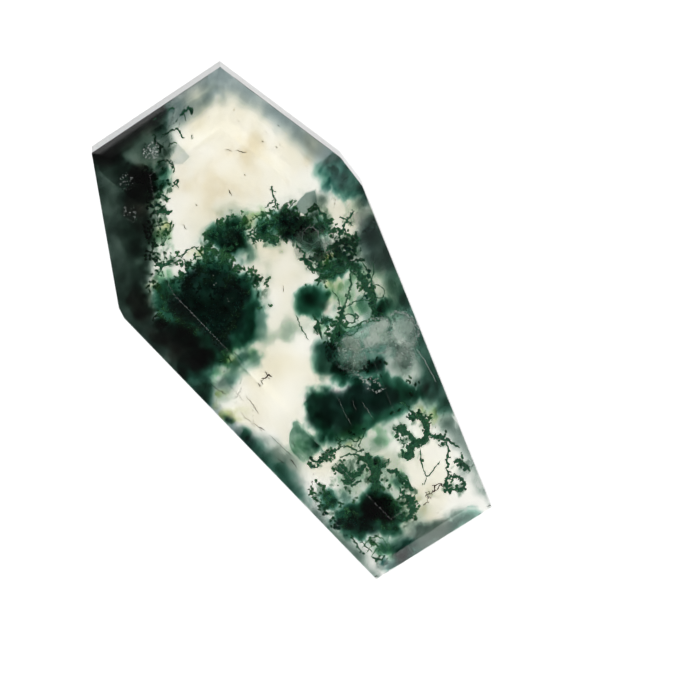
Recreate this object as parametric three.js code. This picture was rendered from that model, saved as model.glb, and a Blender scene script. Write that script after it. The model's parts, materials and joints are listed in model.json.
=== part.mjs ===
// A coffin-cut moss agate: one solid stone with a flat table, two steps of crown facets,
// a thick upright girdle, two steps of pavilion facets and a flat base that it rests on.
// Millimetres. +Z is up through the table, +Y runs from the narrow foot to the head, and
// the origin is under the middle of the outline, at the height of the base.
import * as THREE from "three";

// The outline: six corners, widest at the shoulders, measured to the points of the corners.
const LENGTH = 17.2;
const SHOULDER_WIDTH = 9.13;
const HEAD_WIDTH = 5.09;
const FOOT_WIDTH = 4.52;
const SHOULDER_Y = 3.38;
// The stone was ground by hand, so the head and the foot stand a little off the middle of
// the shoulders, the head's left corner is a little low and the left shoulder a little high.
const HEAD_SHIFT = 0.05;
const FOOT_SHIFT = 0.12;
const HEAD_LEFT_DROP = 0.15;
const LEFT_SHOULDER_RISE = 0.06;

// Each shoulder's point is taken off by one narrow facet from table to base. These are the
// distances from the point to the facet's edges, along the two sides that meet there.
const RIGHT_SHOULDER_CUT = 0.62;
const LEFT_SHOULDER_CUT = 0.2;

// Heights of the steps, from the base up.
const LOW_PAVILION_TOP = 0.1;
const GIRDLE_BOTTOM = 0.45;
const GIRDLE_TOP = 2.2;
const LOW_CROWN_TOP = 2.72;
const DEPTH = 3.2;

// How far each step stands in from the outline, in the order of SIDES below.
const SIDES = ["head", "right_upper", "right_lower", "foot", "left_lower", "left_upper"];
const TABLE_INSETS = [1.58, 1.53, 1.78, 1.6, 1.82, 1.77];
const LOW_CROWN_INSETS = [0.45, 0.58, 0.7, 0.5, 0.78, 0.62];
const GIRDLE_INSETS = [0, 0, 0, 0, 0, 0];
const LOW_PAVILION_INSETS = [1.25, 1.25, 1.25, 1.12, 1.3, 1.2];
const BASE_INSETS = [1.85, 1.85, 1.85, 1.72, 1.9, 1.8];

// The stone's look: see-through quartz, dark green where the moss fills it.
const STONE_COLOUR = 0x8fa08c;
const STONE_ROUGHNESS = 0.06;
const STONE_METALNESS = 0;
const STONE_OPACITY = 0.6;

// The outline's corners, clockwise from above, each the start of the side of that name.
function outlineCorners() {
  const top = LENGTH / 2;
  const halfShoulder = SHOULDER_WIDTH / 2;
  const halfHead = HEAD_WIDTH / 2;
  const halfFoot = FOOT_WIDTH / 2;
  return [
    new THREE.Vector2(HEAD_SHIFT - halfHead, top - HEAD_LEFT_DROP),
    new THREE.Vector2(HEAD_SHIFT + halfHead, top),
    new THREE.Vector2(halfShoulder, SHOULDER_Y),
    new THREE.Vector2(FOOT_SHIFT + halfFoot, -top),
    new THREE.Vector2(FOOT_SHIFT - halfFoot, -top),
    new THREE.Vector2(-halfShoulder, SHOULDER_Y + LEFT_SHOULDER_RISE),
  ];
}

// The line of one side, moved in by the given distance: a point on it and its direction.
function sideLine(corners, side, inset) {
  const start = corners[side];
  const end = corners[(side + 1) % corners.length];
  const along = end.clone().sub(start).normalize();
  const inward = new THREE.Vector2(along.y, -along.x);
  return { point: start.clone().addScaledVector(inward, inset), along };
}

// Where two lines cross.
function crossing(first, second) {
  const gap = second.point.clone().sub(first.point);
  const turn = first.along.cross(second.along);
  return first.point.clone().addScaledVector(first.along, gap.cross(second.along) / turn);
}

// A corner taken off by a facet: two points, one on each of the sides that meet there.
function cutCorner(corner, before, after, cut) {
  return [
    corner.clone().addScaledVector(before.along, -cut),
    corner.clone().addScaledVector(after.along, cut),
  ];
}

// One closed ring of points at a height, each side moved in by its own distance. Every
// side keeps its direction from ring to ring, so the facet between two rings is flat.
function ring(height, insets) {
  const corners = outlineCorners();
  const lines = SIDES.map((name, side) => sideLine(corners, side, insets[side]));
  const cuts = { right_lower: RIGHT_SHOULDER_CUT, left_upper: LEFT_SHOULDER_CUT };
  return SIDES.flatMap((name, side) => {
    const before = lines[(side + SIDES.length - 1) % SIDES.length];
    const after = lines[side];
    const corner = crossing(before, after);
    return name in cuts ? cutCorner(corner, before, after, cuts[name]) : [corner];
  }).map((point) => new THREE.Vector3(point.x, point.y, height));
}

// The closed surface through the rings, lowest first: flat facets between each ring and
// the next, and a fan over the first and the last ring.
function stackRings(rings) {
  const count = rings[0].length;
  const positions = rings.flat().flatMap((point) => point.toArray());
  const index = [];
  for (let level = 0; level + 1 < rings.length; level++) {
    for (let k = 0; k < count; k++) {
      const low = level * count + k;
      const lowNext = level * count + ((k + 1) % count);
      index.push(low, low + count, lowNext + count);
      index.push(low, lowNext + count, lowNext);
    }
  }
  const topStart = (rings.length - 1) * count;
  for (let k = 1; k + 1 < count; k++) {
    index.push(0, k, k + 1);
    index.push(topStart, topStart + k + 1, topStart + k);
  }
  const geometry = new THREE.BufferGeometry();
  geometry.setAttribute("position", new THREE.Float32BufferAttribute(positions, 3));
  geometry.setIndex(index);
  const flat = geometry.toNonIndexed();
  flat.computeVertexNormals();
  return flat;
}

// Moves a surface sideways until its outline's middle is over the origin.
function centre(geometry) {
  geometry.computeBoundingBox();
  const middle = geometry.boundingBox.getCenter(new THREE.Vector3());
  return geometry.translate(-middle.x, -middle.y, 0);
}

function buildStone() {
  const rings = [
    ring(0, BASE_INSETS),
    ring(LOW_PAVILION_TOP, LOW_PAVILION_INSETS),
    ring(GIRDLE_BOTTOM, GIRDLE_INSETS),
    ring(GIRDLE_TOP, GIRDLE_INSETS),
    ring(LOW_CROWN_TOP, LOW_CROWN_INSETS),
    ring(DEPTH, TABLE_INSETS),
  ];
  const material = new THREE.MeshStandardMaterial({
    color: STONE_COLOUR,
    roughness: STONE_ROUGHNESS,
    metalness: STONE_METALNESS,
    transparent: true,
    opacity: STONE_OPACITY,
  });
  const stone = new THREE.Mesh(centre(stackRings(rings)), material);
  stone.name = "coffin_cut_stone";
  return stone;
}

const agate = new THREE.Group();
agate.add(buildStone());

export default agate;
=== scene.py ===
"""The looks of a coffin-cut moss agate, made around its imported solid.

Lengths are millimetres in the stone's own frame, and become metres when a mesh is made. What grew
inside the stone is placed by where it shows in the photograph, in its 700 by 700 pixels, and by its
height above the base: a line of sight is followed through the facet that it enters.
"""

import json
import logging
import math
from dataclasses import dataclass, field
from enum import Enum
from typing import Any, Iterable, Mapping, Optional, Sequence, Union

import bmesh
import bpy
import numpy as np
from mathutils import Matrix

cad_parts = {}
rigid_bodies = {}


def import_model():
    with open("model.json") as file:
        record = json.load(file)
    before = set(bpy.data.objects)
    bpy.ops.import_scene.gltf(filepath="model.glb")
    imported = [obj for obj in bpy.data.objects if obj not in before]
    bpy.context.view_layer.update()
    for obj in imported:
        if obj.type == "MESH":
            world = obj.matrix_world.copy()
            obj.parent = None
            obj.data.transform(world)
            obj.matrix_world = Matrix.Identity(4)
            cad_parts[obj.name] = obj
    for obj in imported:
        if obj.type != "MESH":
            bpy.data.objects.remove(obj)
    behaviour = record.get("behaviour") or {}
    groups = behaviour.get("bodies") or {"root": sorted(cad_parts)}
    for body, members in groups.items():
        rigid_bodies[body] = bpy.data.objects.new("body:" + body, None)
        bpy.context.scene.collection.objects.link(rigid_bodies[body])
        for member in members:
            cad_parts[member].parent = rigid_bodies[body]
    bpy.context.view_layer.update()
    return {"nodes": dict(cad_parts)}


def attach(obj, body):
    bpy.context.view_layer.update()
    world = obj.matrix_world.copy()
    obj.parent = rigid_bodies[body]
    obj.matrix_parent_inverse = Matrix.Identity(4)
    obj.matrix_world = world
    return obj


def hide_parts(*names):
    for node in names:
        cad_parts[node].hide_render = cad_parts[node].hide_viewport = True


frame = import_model()

LOG = logging.getLogger("moss_agate")
STONE_NODE = "coffin_cut_stone"
BODY = "root"
MM = 0.001
PHOTO_PIXELS = 700
CHALCEDONY_IOR = 1.54
# The mesh attribute that each finish reads its shade from.
TINT = "tint"
# The clear quartz left between what grew inside and the stone's faces.
SKIN = 0.03
# A height at which only the upright faces of the girdle bound the stone.
GIRDLE_MIDDLE = 1.3
# The least length or weight that a division is safe with.
TINY = 1e-9
# A face whose normal rises less than LEVEL counts as upright, and one above CROWN_RISE as crown.
LEVEL = 0.01
CROWN_RISE = 0.1

Number = Union[float, "Shade"]
Pixel = tuple[float, float]
Colour = tuple[float, float, float]
Marks = tuple[tuple[float, ...], ...]


class Slot(Enum):
    """The record's material slots; stains and strands here carry one, but nothing reads it."""

    AGATE = "agate"
    MOSS = "moss"
    CLOUD = "cloud"


@dataclass
class Shade:
    """One output of a shader node, with arithmetic written as Python expressions."""

    graph: "ShaderGraph"
    socket: bpy.types.NodeSocket

    def _math(self, operation: str, first: Number, second: Number) -> "Shade":
        """Adds a Math node.

        Args:
            operation: the node's operation.
            first: its first value.
            second: its second value.

        Returns:
            The node's result.
        """
        return self.graph.node("ShaderNodeMath", {"operation": operation}, {0: first, 1: second})

    def __add__(self, other: Number) -> "Shade":
        """This value plus another."""
        return self._math("ADD", self, other)

    def __radd__(self, other: Number) -> "Shade":
        """Another value plus this one."""
        return self._math("ADD", other, self)

    def __sub__(self, other: Number) -> "Shade":
        """This value less another."""
        return self._math("SUBTRACT", self, other)

    def __rsub__(self, other: Number) -> "Shade":
        """Another value less this one."""
        return self._math("SUBTRACT", other, self)

    def __mul__(self, other: Number) -> "Shade":
        """This value times another."""
        return self._math("MULTIPLY", self, other)

    def __rmul__(self, other: Number) -> "Shade":
        """Another value times this one."""
        return self._math("MULTIPLY", other, self)

    def __truediv__(self, other: Number) -> "Shade":
        """This value over another."""
        return self._math("DIVIDE", self, other)

    def clamped(self, low: float, high: float) -> "Shade":
        """This value kept between two limits."""
        return self._math("MINIMUM", self._math("MAXIMUM", self, low), high)


class ShaderGraph:
    """The node tree of a material or of the world, emptied and ready to be built."""

    def __init__(self, tree: bpy.types.NodeTree) -> None:
        """Clears the tree."""
        self.tree = tree
        tree.nodes.clear()

    def add(
        self,
        kind: str,
        settings: Optional[Mapping[str, Any]] = None,
        inputs: Optional[Mapping[Union[int, str], Any]] = None,
    ) -> bpy.types.Node:
        """Adds a node.

        Args:
            kind: the node's type.
            settings: its properties, such as operation; "stops" are a ramp's (place, colour) pairs.
            inputs: a value or a Shade for each socket, by name or number.

        Returns:
            The node.
        """
        node = self.tree.nodes.new(kind)
        for name, value in (settings or {}).items():
            if name == "stops":
                self._set_stops(node.color_ramp, value)
            else:
                setattr(node, name, value)
        for name, value in (inputs or {}).items():
            if isinstance(value, Shade):
                self.tree.links.new(value.socket, node.inputs[name])
            else:
                node.inputs[name].default_value = value
        return node

    def node(
        self,
        kind: str,
        settings: Optional[Mapping[str, Any]] = None,
        inputs: Optional[Mapping[Union[int, str], Any]] = None,
        output: Union[int, str] = 0,
    ) -> Shade:
        """Adds a node as add does.

        Returns:
            One of its outputs.
        """
        return Shade(self, self.add(kind, settings, inputs).outputs[output])

    @staticmethod
    def _set_stops(ramp: bpy.types.ColorRamp, stops: Sequence[tuple[float, Colour]]) -> None:
        """Gives a ramp its stops.

        Args:
            ramp: the ramp of a new node, which has two stops.
            stops: at least two (place, colour) pairs, in order.
        """
        for _ in stops[2:]:
            ramp.elements.new(0.5)
        for element, (place, colour) in zip(ramp.elements, stops):
            element.position = place
            element.color = (*colour, 1)

    def blend(self, factor: Number, first: Any, second: Any) -> Shade:
        """Mixes two colours.

        Args:
            factor: how much of the second.
            first: a colour or a Shade.
            second: a colour or a Shade.

        Returns:
            The mixed colour.
        """
        colours = [c if isinstance(c, Shade) else (*c, 1) for c in (first, second)]
        settings = {"data_type": "RGBA"}
        return self.node("ShaderNodeMix", settings, {0: factor, 6: colours[0], 7: colours[1]}, 2)

    def ramp(self, value: Shade, stops: Sequence[tuple[float, float]]) -> Shade:
        """A value that changes smoothly with another.

        Args:
            value: the other value, from 0 to 1.
            stops: at least two (value, result) pairs, in order.

        Returns:
            The result.
        """
        settings = {"stops": [(at, (result, result, result)) for at, result in stops]}
        return self.node("ShaderNodeValToRGB", settings, {0: value})

    def place(self) -> Shade:
        """Where a point is in its piece, in metres."""
        return self.node("ShaderNodeTexCoord", output="Object")

    def noise(self, size: float, detail: float = 2.0, roughness: float = 0.5) -> Shade:
        """Noise over a piece.

        Args:
            size: the width of its patches in mm.
            detail: how many finer layers it has.
            roughness: how strong they are.

        Returns:
            The noise, about 0.5 on average.
        """
        scale = 1 / (size * MM)
        inputs = {"Vector": self.place(), "Scale": scale, "Detail": detail, "Roughness": roughness}
        return self.node("ShaderNodeTexNoise", None, inputs)

    def tint(self) -> Shade:
        """Each mesh's own tint, from 0 at the heart of a growth to 1 at its tips."""
        return self.node("ShaderNodeAttribute", {"attribute_name": TINT}, None, "Fac")

    def end(
        self,
        surface: Optional[Mapping[str, Any]] = None,
        passed_light: Colour = (1.0, 1.0, 1.0),
        absorption_per_mm: float = 0.0,
    ) -> None:
        """Ends a material.

        Args:
            surface: the inputs of its surface, or None where it has none.
            passed_light: the colour of the light that its inside lets through.
            absorption_per_mm: how much light its inside takes out, 0 for none.
        """
        outputs = {}
        if surface:
            outputs["Surface"] = self.node("ShaderNodeBsdfPrincipled", None, surface)
        if absorption_per_mm:
            inside = {"Color": (*passed_light, 1), "Density": absorption_per_mm / MM}
            outputs["Volume"] = self.node("ShaderNodeVolumeAbsorption", None, inside)
        self.add("ShaderNodeOutputMaterial", None, outputs)


def new_material(name: str) -> tuple[bpy.types.Material, ShaderGraph]:
    """Makes a material with an empty node tree.

    Args:
        name: the material's name.

    Returns:
        The material and its tree.
    """
    material = bpy.data.materials.new(name)
    material.use_nodes = True
    return material, ShaderGraph(material.node_tree)


@dataclass(frozen=True)
class PolishedChalcedony:
    """Clear, faintly warm quartz with a polished skin, a little duller where it has worn."""

    roughness: float = 0.085
    wear: float = 0.06
    wear_patch: float = 1.6
    passed_light: Colour = (0.97, 0.955, 0.88)
    absorption_per_mm: float = 0.35

    def make(self) -> bpy.types.Material:
        """Builds the material: plain transmission, index and absorption."""
        material, graph = new_material("polished_chalcedony")
        worn = (graph.noise(self.wear_patch, 6.0, 0.7) * 2 - 0.8).clamped(0, 1)
        surface = {
            "Base Color": (1, 1, 1, 1),
            "Roughness": worn * self.wear + self.roughness,
            "IOR": CHALCEDONY_IOR,
            "Transmission Weight": 1.0,
        }
        graph.end(surface, self.passed_light, self.absorption_per_mm)
        return material


@dataclass(frozen=True)
class SoftStain:
    """A stain in the clear quartz, or a painted shade, that only takes light out, so its edges are
    soft.
    """

    name: str
    passed_light: Colour
    absorption_per_mm: float

    def make(self) -> bpy.types.Material:
        """Builds the material: absorption alone, with no surface."""
        material, graph = new_material(self.name)
        graph.end(None, self.passed_light, self.absorption_per_mm)
        return material


@dataclass(frozen=True)
class MossFinish:
    """Dull mineral growth, darkest at the heart of a tuft and greener at its tips; the tips' lighter
    green is partly their own colour and partly painted light for the light that the thin tips pass.
    """

    name: str
    heart: Colour
    tip: Colour
    roughness: float = 0.6
    patch: float = 0.12
    painted_backlight_glow: float = 0.12
    specular: float = 0.25

    def make(self) -> bpy.types.Material:
        """Builds the material from each mesh's tint and a fine noise.

        The growth is thin enough to pass a little light from behind; its emission is a painted glow
        that stands in for that light.
        """
        material, graph = new_material(self.name)
        tint = graph.tint()
        uneven = graph.noise(self.patch, 3.0) - 0.5
        colour = graph.blend((tint + uneven * (tint * 0.6 + 0.25)).clamped(0, 1), self.heart, self.tip)
        surface = {
            "Base Color": colour,
            "Roughness": self.roughness,
            "Specular IOR Level": self.specular,
            # Painted glow: emission in the growth's own colour stands in for light passing through it
            # from behind.
            "Emission Color": colour,
            "Emission Strength": self.painted_backlight_glow,
        }
        graph.end(surface)
        return material


@dataclass(frozen=True)
class MilkyFinish:
    """White mineral so fine that it is half see-through; its emission is a painted glow that stands in
    for the light scattered through it.
    """

    name: str
    colour: Colour
    cover: float
    glow: float
    patch: float = 0.25
    patchy: float = 0.6
    roughness: float = 0.5
    specular: float = 0.1

    def make(self) -> bpy.types.Material:
        """Builds the material: it covers most where each mesh's tint is strongest."""
        material, graph = new_material(self.name)
        tint = graph.tint()
        uneven = graph.noise(self.patch, 5.0, 0.65) - 0.5
        cover = (tint * self.cover * (uneven * self.patchy * 2 + 1)).clamped(0, 1)
        surface = {
            "Base Color": (*self.colour, 1),
            "Roughness": self.roughness,
            "Specular IOR Level": self.specular,
            "Alpha": cover,
            # Painted glow: emission stands in for the light that the milky mineral scatters.
            "Emission Color": (*self.colour, 1),
            "Emission Strength": self.glow,
        }
        graph.end(surface)
        return material


def unit(vectors: np.ndarray) -> np.ndarray:
    """Vectors scaled to length 1, along the last axis."""
    return vectors / np.maximum(np.linalg.norm(vectors, axis=-1, keepdims=True), TINY)


@dataclass
class Viewpoint:
    """Where the photograph was taken from, as seen from the stone's own frame.

    The camera looks down on the table, leans a little towards the head and is turned, so that the
    stone lies across the picture.
    """

    lean_deg: float = 8.5
    lean_towards_deg: float = 67.0
    roll_deg: float = -32.43
    target: tuple[float, float, float] = (1.245, -1.634, 2.2)
    distance: float = 300.0
    picture_width: float = 23.09
    sensor: float = 36.0

    def axes(self) -> tuple[np.ndarray, np.ndarray, np.ndarray]:
        """The camera's right, up and back directions."""
        lean, towards = math.radians(self.lean_deg), math.radians(self.lean_towards_deg)
        across = math.sin(lean)
        back = np.array([across * math.cos(towards), across * math.sin(towards), math.cos(lean)])
        up = np.array([0.0, 1.0, 0.0])
        up -= back * (up @ back)
        up /= np.linalg.norm(up)
        right = np.cross(up, back)
        roll = math.radians(self.roll_deg)
        turned_right = math.cos(roll) * right + math.sin(roll) * up
        turned_up = math.cos(roll) * up - math.sin(roll) * right
        return turned_right, turned_up, back

    def position(self) -> np.ndarray:
        """Where the camera is, in mm."""
        return np.array(self.target) + self.axes()[2] * self.distance

    def sights(self, pixels: np.ndarray) -> np.ndarray:
        """The directions of the lines of sight through pixels of the photograph, (n, 2)."""
        right, up, back = self.axes()
        step = self.picture_width / PHOTO_PIXELS / self.distance
        across, down = ((pixels - PHOTO_PIXELS / 2) * step).T
        return unit(across[:, None] * right - down[:, None] * up - back)

    def make_camera(self) -> bpy.types.Object:
        """Makes the scene's camera."""
        data = bpy.data.cameras.new("camera")
        data.sensor_width = self.sensor
        data.lens = self.sensor * self.distance / self.picture_width
        camera = bpy.data.objects.new("camera", data)
        right, up, back = self.axes()
        rows = [[right[k], up[k], back[k], self.position()[k] * MM] for k in range(3)]
        camera.matrix_world = Matrix([*rows, [0, 0, 0, 1]])
        bpy.context.scene.collection.objects.link(camera)
        bpy.context.scene.camera = camera
        return camera


class Facets:
    """The stone's flat faces, read from its solid, as planes in mm."""

    rounds = 3

    def __init__(self, node: bpy.types.Object) -> None:
        """Reads the planes.

        Args:
            node: the stone's solid, a convex mesh.
        """
        mesh = node.data
        normals = np.array([p.normal for p in mesh.polygons], float)
        centres = np.array([p.center for p in mesh.polygons], float) / MM
        offsets = (normals * centres).sum(1)
        rounded = np.round(np.column_stack([normals, offsets]), 3)
        _, first = np.unique(rounded, axis=0, return_index=True)
        self.normals = normals[first]
        self.offsets = offsets[first]

    def keep_inside(self, points: np.ndarray, margin: float) -> np.ndarray:
        """Moves points that are too near the skin, or past it, straight inwards.

        Args:
            points: places in mm, (n, 3).
            margin: the least depth under every face, in mm.

        Returns:
            The places, moved.
        """
        kept = points.copy()
        for _ in range(self.rounds):
            for normal, offset in zip(self.normals, self.offsets):
                over = kept @ normal - (offset - margin)
                kept -= np.maximum(over, 0)[:, None] * normal
        return kept

    def depth(self, points: np.ndarray) -> np.ndarray:
        """How far each place is under the nearest face, in mm."""
        return (self.offsets - points @ self.normals.T).min(1)

    def span(self, places: np.ndarray, margin: float) -> tuple[np.ndarray, np.ndarray]:
        """The heights between which an upright line is inside the stone.

        Args:
            places: where the lines are, (n, 2) in mm.
            margin: the least depth under every face, in mm.

        Returns:
            The lowest and the highest of each, in mm.
        """
        limits = self.offsets - margin - places @ self.normals[:, :2].T
        up = self.normals[:, 2]
        tall = limits / np.where(np.abs(up) < LEVEL, 1.0, up)
        low = np.where(up < -LEVEL, tall, -np.inf).max(1)
        high = np.where(up > LEVEL, tall, np.inf).min(1)
        return low, high

    def follow(self, start: np.ndarray, sights: np.ndarray, heights: np.ndarray) -> np.ndarray:
        """Follows lines of sight into the stone, bending each where it enters.

        Args:
            start: the camera's place, in mm.
            sights: the lines' directions, (n, 3).
            heights: where to stop, in mm above the base, (n,).

        Returns:
            The places that show there, (n, 3).
        """
        facing = sights @ self.normals.T
        facing = np.where(np.abs(facing) < TINY, TINY, facing)
        reach = (self.offsets - self.normals @ start)[None] / facing
        entering = facing < 0
        leaves = np.where(entering, np.inf, reach).min(1)
        face = np.argmax(np.where(entering, reach, -np.inf), axis=1)
        rows = np.arange(len(sights))
        inside = (reach[rows, face] < leaves) & (self.normals[face][:, 2] > CROWN_RISE)
        ratio = 1 / CHALCEDONY_IOR
        cosine = -facing[rows, face]
        straight = np.sqrt(1 - ratio**2 * (1 - cosine**2))
        bent = ratio * sights + (ratio * cosine - straight)[:, None] * self.normals[face]
        bent = np.where(inside[:, None], bent, sights)
        starts = start + sights * reach[rows, face][:, None]
        return starts + bent * ((heights - starts[:, 2]) / bent[:, 2])[:, None]


@dataclass
class Guide:
    """Turns places in the photograph into places in the stone."""

    view: Viewpoint
    facets: Facets
    rounds: int = 5

    def places(self, pixels: Sequence[Pixel], heights: Union[float, np.ndarray]) -> np.ndarray:
        """The places in mm that show at pixels, (n, 2), at heights above the base."""
        points = np.asarray(pixels, float).reshape(-1, 2)
        tall = np.broadcast_to(np.asarray(heights, float), len(points))
        return self.facets.follow(self.view.position(), self.view.sights(points), tall)

    def places_under(self, pixels: Sequence[Pixel], height: float, cover: float) -> np.ndarray:
        """The places in mm that show at pixels, at a height or, where the skin is lower, under it.

        Args:
            pixels: where in the photograph, (n, 2).
            height: above the base, in mm.
            cover: the least depth under the skin, in mm.

        Returns:
            The places, (n, 3).
        """
        places = self.places(pixels, height)
        for _ in range(self.rounds):
            _, high = self.facets.span(places[:, :2], cover)
            places = self.places(pixels, np.clip(high, GIRDLE_MIDDLE, height))
        return places

    def place(self, x: float, y: float, height: float) -> np.ndarray:
        """The place in mm that shows at one pixel, at a height above the base."""
        return self.places([(x, y)], height)[0]

    def length(self, pixels: float) -> float:
        """A length in the photograph, in mm."""
        return pixels * self.view.picture_width / PHOTO_PIXELS


class MeshBin:
    """Collects many small closed meshes and makes one object of them."""

    def __init__(self) -> None:
        """Starts empty."""
        self.points: list[np.ndarray] = []
        self.faces: list[np.ndarray] = []
        self.tints: list[np.ndarray] = []
        self.count = 0

    def add(self, points: np.ndarray, faces: np.ndarray, tints: np.ndarray) -> None:
        """Adds meshes of triangles.

        Args:
            points: (n, 3) places in mm.
            faces: (m, 3) numbers of the points added here.
            tints: (n,) from 0 at the heart of a growth to 1 at its tips.
        """
        self.points.append(points)
        self.faces.append(faces + self.count)
        self.tints.append(tints)
        self.count += len(points)

    def build(
        self, name: str, material: bpy.types.Material, facets: Facets, smooth: bool = True
    ) -> bpy.types.Object:
        """Makes the object, inside the stone, and lets it ride on the stone.

        Args:
            name: the piece's name.
            material: its finish.
            facets: the stone's faces.
            smooth: whether it is shaded smooth.

        Returns:
            The object.
        """
        points = facets.keep_inside(np.concatenate(self.points), SKIN)
        faces = np.concatenate(self.faces)
        mesh = bpy.data.meshes.new(name)
        mesh.vertices.add(len(points))
        mesh.vertices.foreach_set("co", (points * MM).astype(np.float32).ravel())
        mesh.loops.add(faces.size)
        mesh.loops.foreach_set("vertex_index", faces.astype(np.int32).ravel())
        mesh.polygons.add(len(faces))
        mesh.polygons.foreach_set("loop_start", np.arange(0, faces.size, 3, dtype=np.int32))
        mesh.polygons.foreach_set("use_smooth", np.full(len(faces), smooth))
        tint = mesh.attributes.new(TINT, "FLOAT", "POINT")
        tint.data.foreach_set("value", np.concatenate(self.tints).astype(np.float32))
        mesh.update(calc_edges=True)
        mesh.materials.append(material)
        return dress(bpy.data.objects.new(name, mesh))


def dress(piece: bpy.types.Object) -> bpy.types.Object:
    """Puts a piece in the scene and lets it ride on the stone.

    Args:
        piece: the new object.

    Returns:
        The object.
    """
    bpy.context.scene.collection.objects.link(piece)
    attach(piece, BODY)
    LOG.info("%s: %d faces", piece.name, len(piece.data.polygons))
    return piece


def ball(steps: int) -> tuple[np.ndarray, np.ndarray]:
    """A unit ball of nearly equal triangles.

    Args:
        steps: 0 for 8 triangles, 1 for 20, and each further step has 4 times as many.

    Returns:
        Its points and its triangles.
    """
    if not steps:
        points = np.concatenate([np.eye(3), -np.eye(3)])
        top = [[0, 1, 2], [1, 3, 2], [3, 4, 2], [4, 0, 2]]
        return points, np.array(top + [[b, a, 5] for a, b, _ in top])
    made = bmesh.new()
    bmesh.ops.create_icosphere(made, subdivisions=steps, radius=1.0)
    points = np.array([v.co for v in made.verts], float)
    faces = np.array([[v.index for v in f.verts] for f in made.faces], int)
    made.free()
    return points, faces


@dataclass
class Shaper:
    """Makes the small shapes that growths are built from, with its own random numbers."""

    seed: int
    random: np.random.Generator = field(init=False)

    def __post_init__(self) -> None:
        """Starts the random numbers."""
        self.random = np.random.default_rng(self.seed)

    def lumps(
        self,
        bin_: MeshBin,
        centres: np.ndarray,
        radii: np.ndarray,
        tints: np.ndarray,
        steps: int = 0,
        flatness: float = 0.45,
        roughness: float = 0.16,
    ) -> None:
        """Adds uneven lumps.

        Args:
            bin_: where they go.
            centres: (n, 3) places in mm.
            radii: (n,) in mm.
            tints: (n,) tint of each.
            steps: how fine each lump's ball is.
            flatness: how much shorter its short axes may be.
            roughness: how much its points move in and out.
        """
        if not len(centres):
            return
        points, faces = ball(steps)
        count = len(centres)
        stretch = radii[:, None] * self.random.uniform(1 - flatness, 1, (count, 3))
        turn = self._turns(count)
        wobble = 1 + roughness * self.random.standard_normal((count, len(points), 1))
        shaped = points[None] * wobble * stretch[:, None, :]
        placed = np.einsum("nij,nvj->nvi", turn, shaped) + centres[:, None, :]
        numbers = faces[None] + (np.arange(count) * len(points))[:, None, None]
        bin_.add(placed.reshape(-1, 3), numbers.reshape(-1, 3), np.repeat(tints, len(points)))

    def _turns(self, count: int) -> np.ndarray:
        """Random turns.

        Args:
            count: how many.

        Returns:
            (count, 3, 3) matrices.
        """
        w, x, y, z = unit(self.random.standard_normal((count, 4))).T
        rows = [
            [1 - 2 * (y * y + z * z), 2 * (x * y - z * w), 2 * (x * z + y * w)],
            [2 * (x * y + z * w), 1 - 2 * (x * x + z * z), 2 * (y * z - x * w)],
            [2 * (x * z - y * w), 2 * (y * z + x * w), 1 - 2 * (x * x + y * y)],
        ]
        return np.array(rows).transpose(2, 0, 1)

    def threads(
        self, bin_: MeshBin, paths: np.ndarray, radii: np.ndarray, tints: np.ndarray, sides: int = 3
    ) -> None:
        """Adds closed tubes along paths of the same number of points.

        Args:
            bin_: where they go.
            paths: (n, k, 3) places in mm.
            radii: (n, k) in mm.
            tints: (n, k).
            sides: how many sides a tube has.
        """
        count, length = paths.shape[:2]
        if not count:
            return
        along = unit(np.gradient(paths, axis=1))
        mean = np.abs(along.mean(1))
        least = np.eye(3)[np.argmin(mean, axis=1)][:, None, :]
        across = unit(np.cross(along, least))
        other = np.cross(along, across)
        angles = np.arange(sides) * 2 * math.pi / sides
        ring = np.cos(angles)[:, None] * across[:, :, None, :]
        ring = ring + np.sin(angles)[:, None] * other[:, :, None, :]
        points = paths[:, :, None, :] + radii[:, :, None, None] * ring
        step = np.arange(length - 1)[:, None] * sides
        k = np.arange(sides)[None, :]
        after = (k + 1) % sides
        low, low_next, high, high_next = step + k, step + after, step + sides + k, step + sides + after
        walls = np.concatenate(
            [
                np.stack([low, high_next, high], -1).reshape(-1, 3),
                np.stack([low, low_next, high_next], -1).reshape(-1, 3),
            ]
        )
        fan = np.array([[0, i + 1, i] for i in range(1, sides - 1)])
        end = (length - 1) * sides
        far = np.array([[end, end + i, end + i + 1] for i in range(1, sides - 1)])
        faces = np.concatenate([walls, fan, far])
        numbers = faces[None] + (np.arange(count) * length * sides)[:, None, None]
        bin_.add(points.reshape(-1, 3), numbers.reshape(-1, 3), np.repeat(tints.ravel(), sides))

    def wander(
        self, roots: np.ndarray, directions: np.ndarray, lengths: np.ndarray, points: int, curl: float
    ) -> np.ndarray:
        """Walks uneven paths.

        Args:
            roots: (n, 3) starts in mm.
            directions: (n, 3) first directions.
            lengths: (n,) in mm.
            points: how many points a path has.
            curl: how much each step turns.

        Returns:
            (n, points, 3) paths.
        """
        paths = np.empty((len(roots), points, 3))
        paths[:, 0] = roots
        heading = unit(directions)
        step = (lengths / (points - 1))[:, None]
        for k in range(1, points):
            heading = unit(heading + curl * self.random.standard_normal(heading.shape))
            paths[:, k] = paths[:, k - 1] + heading * step * self.random.uniform(0.6, 1.4, step.shape)
        return paths


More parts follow.
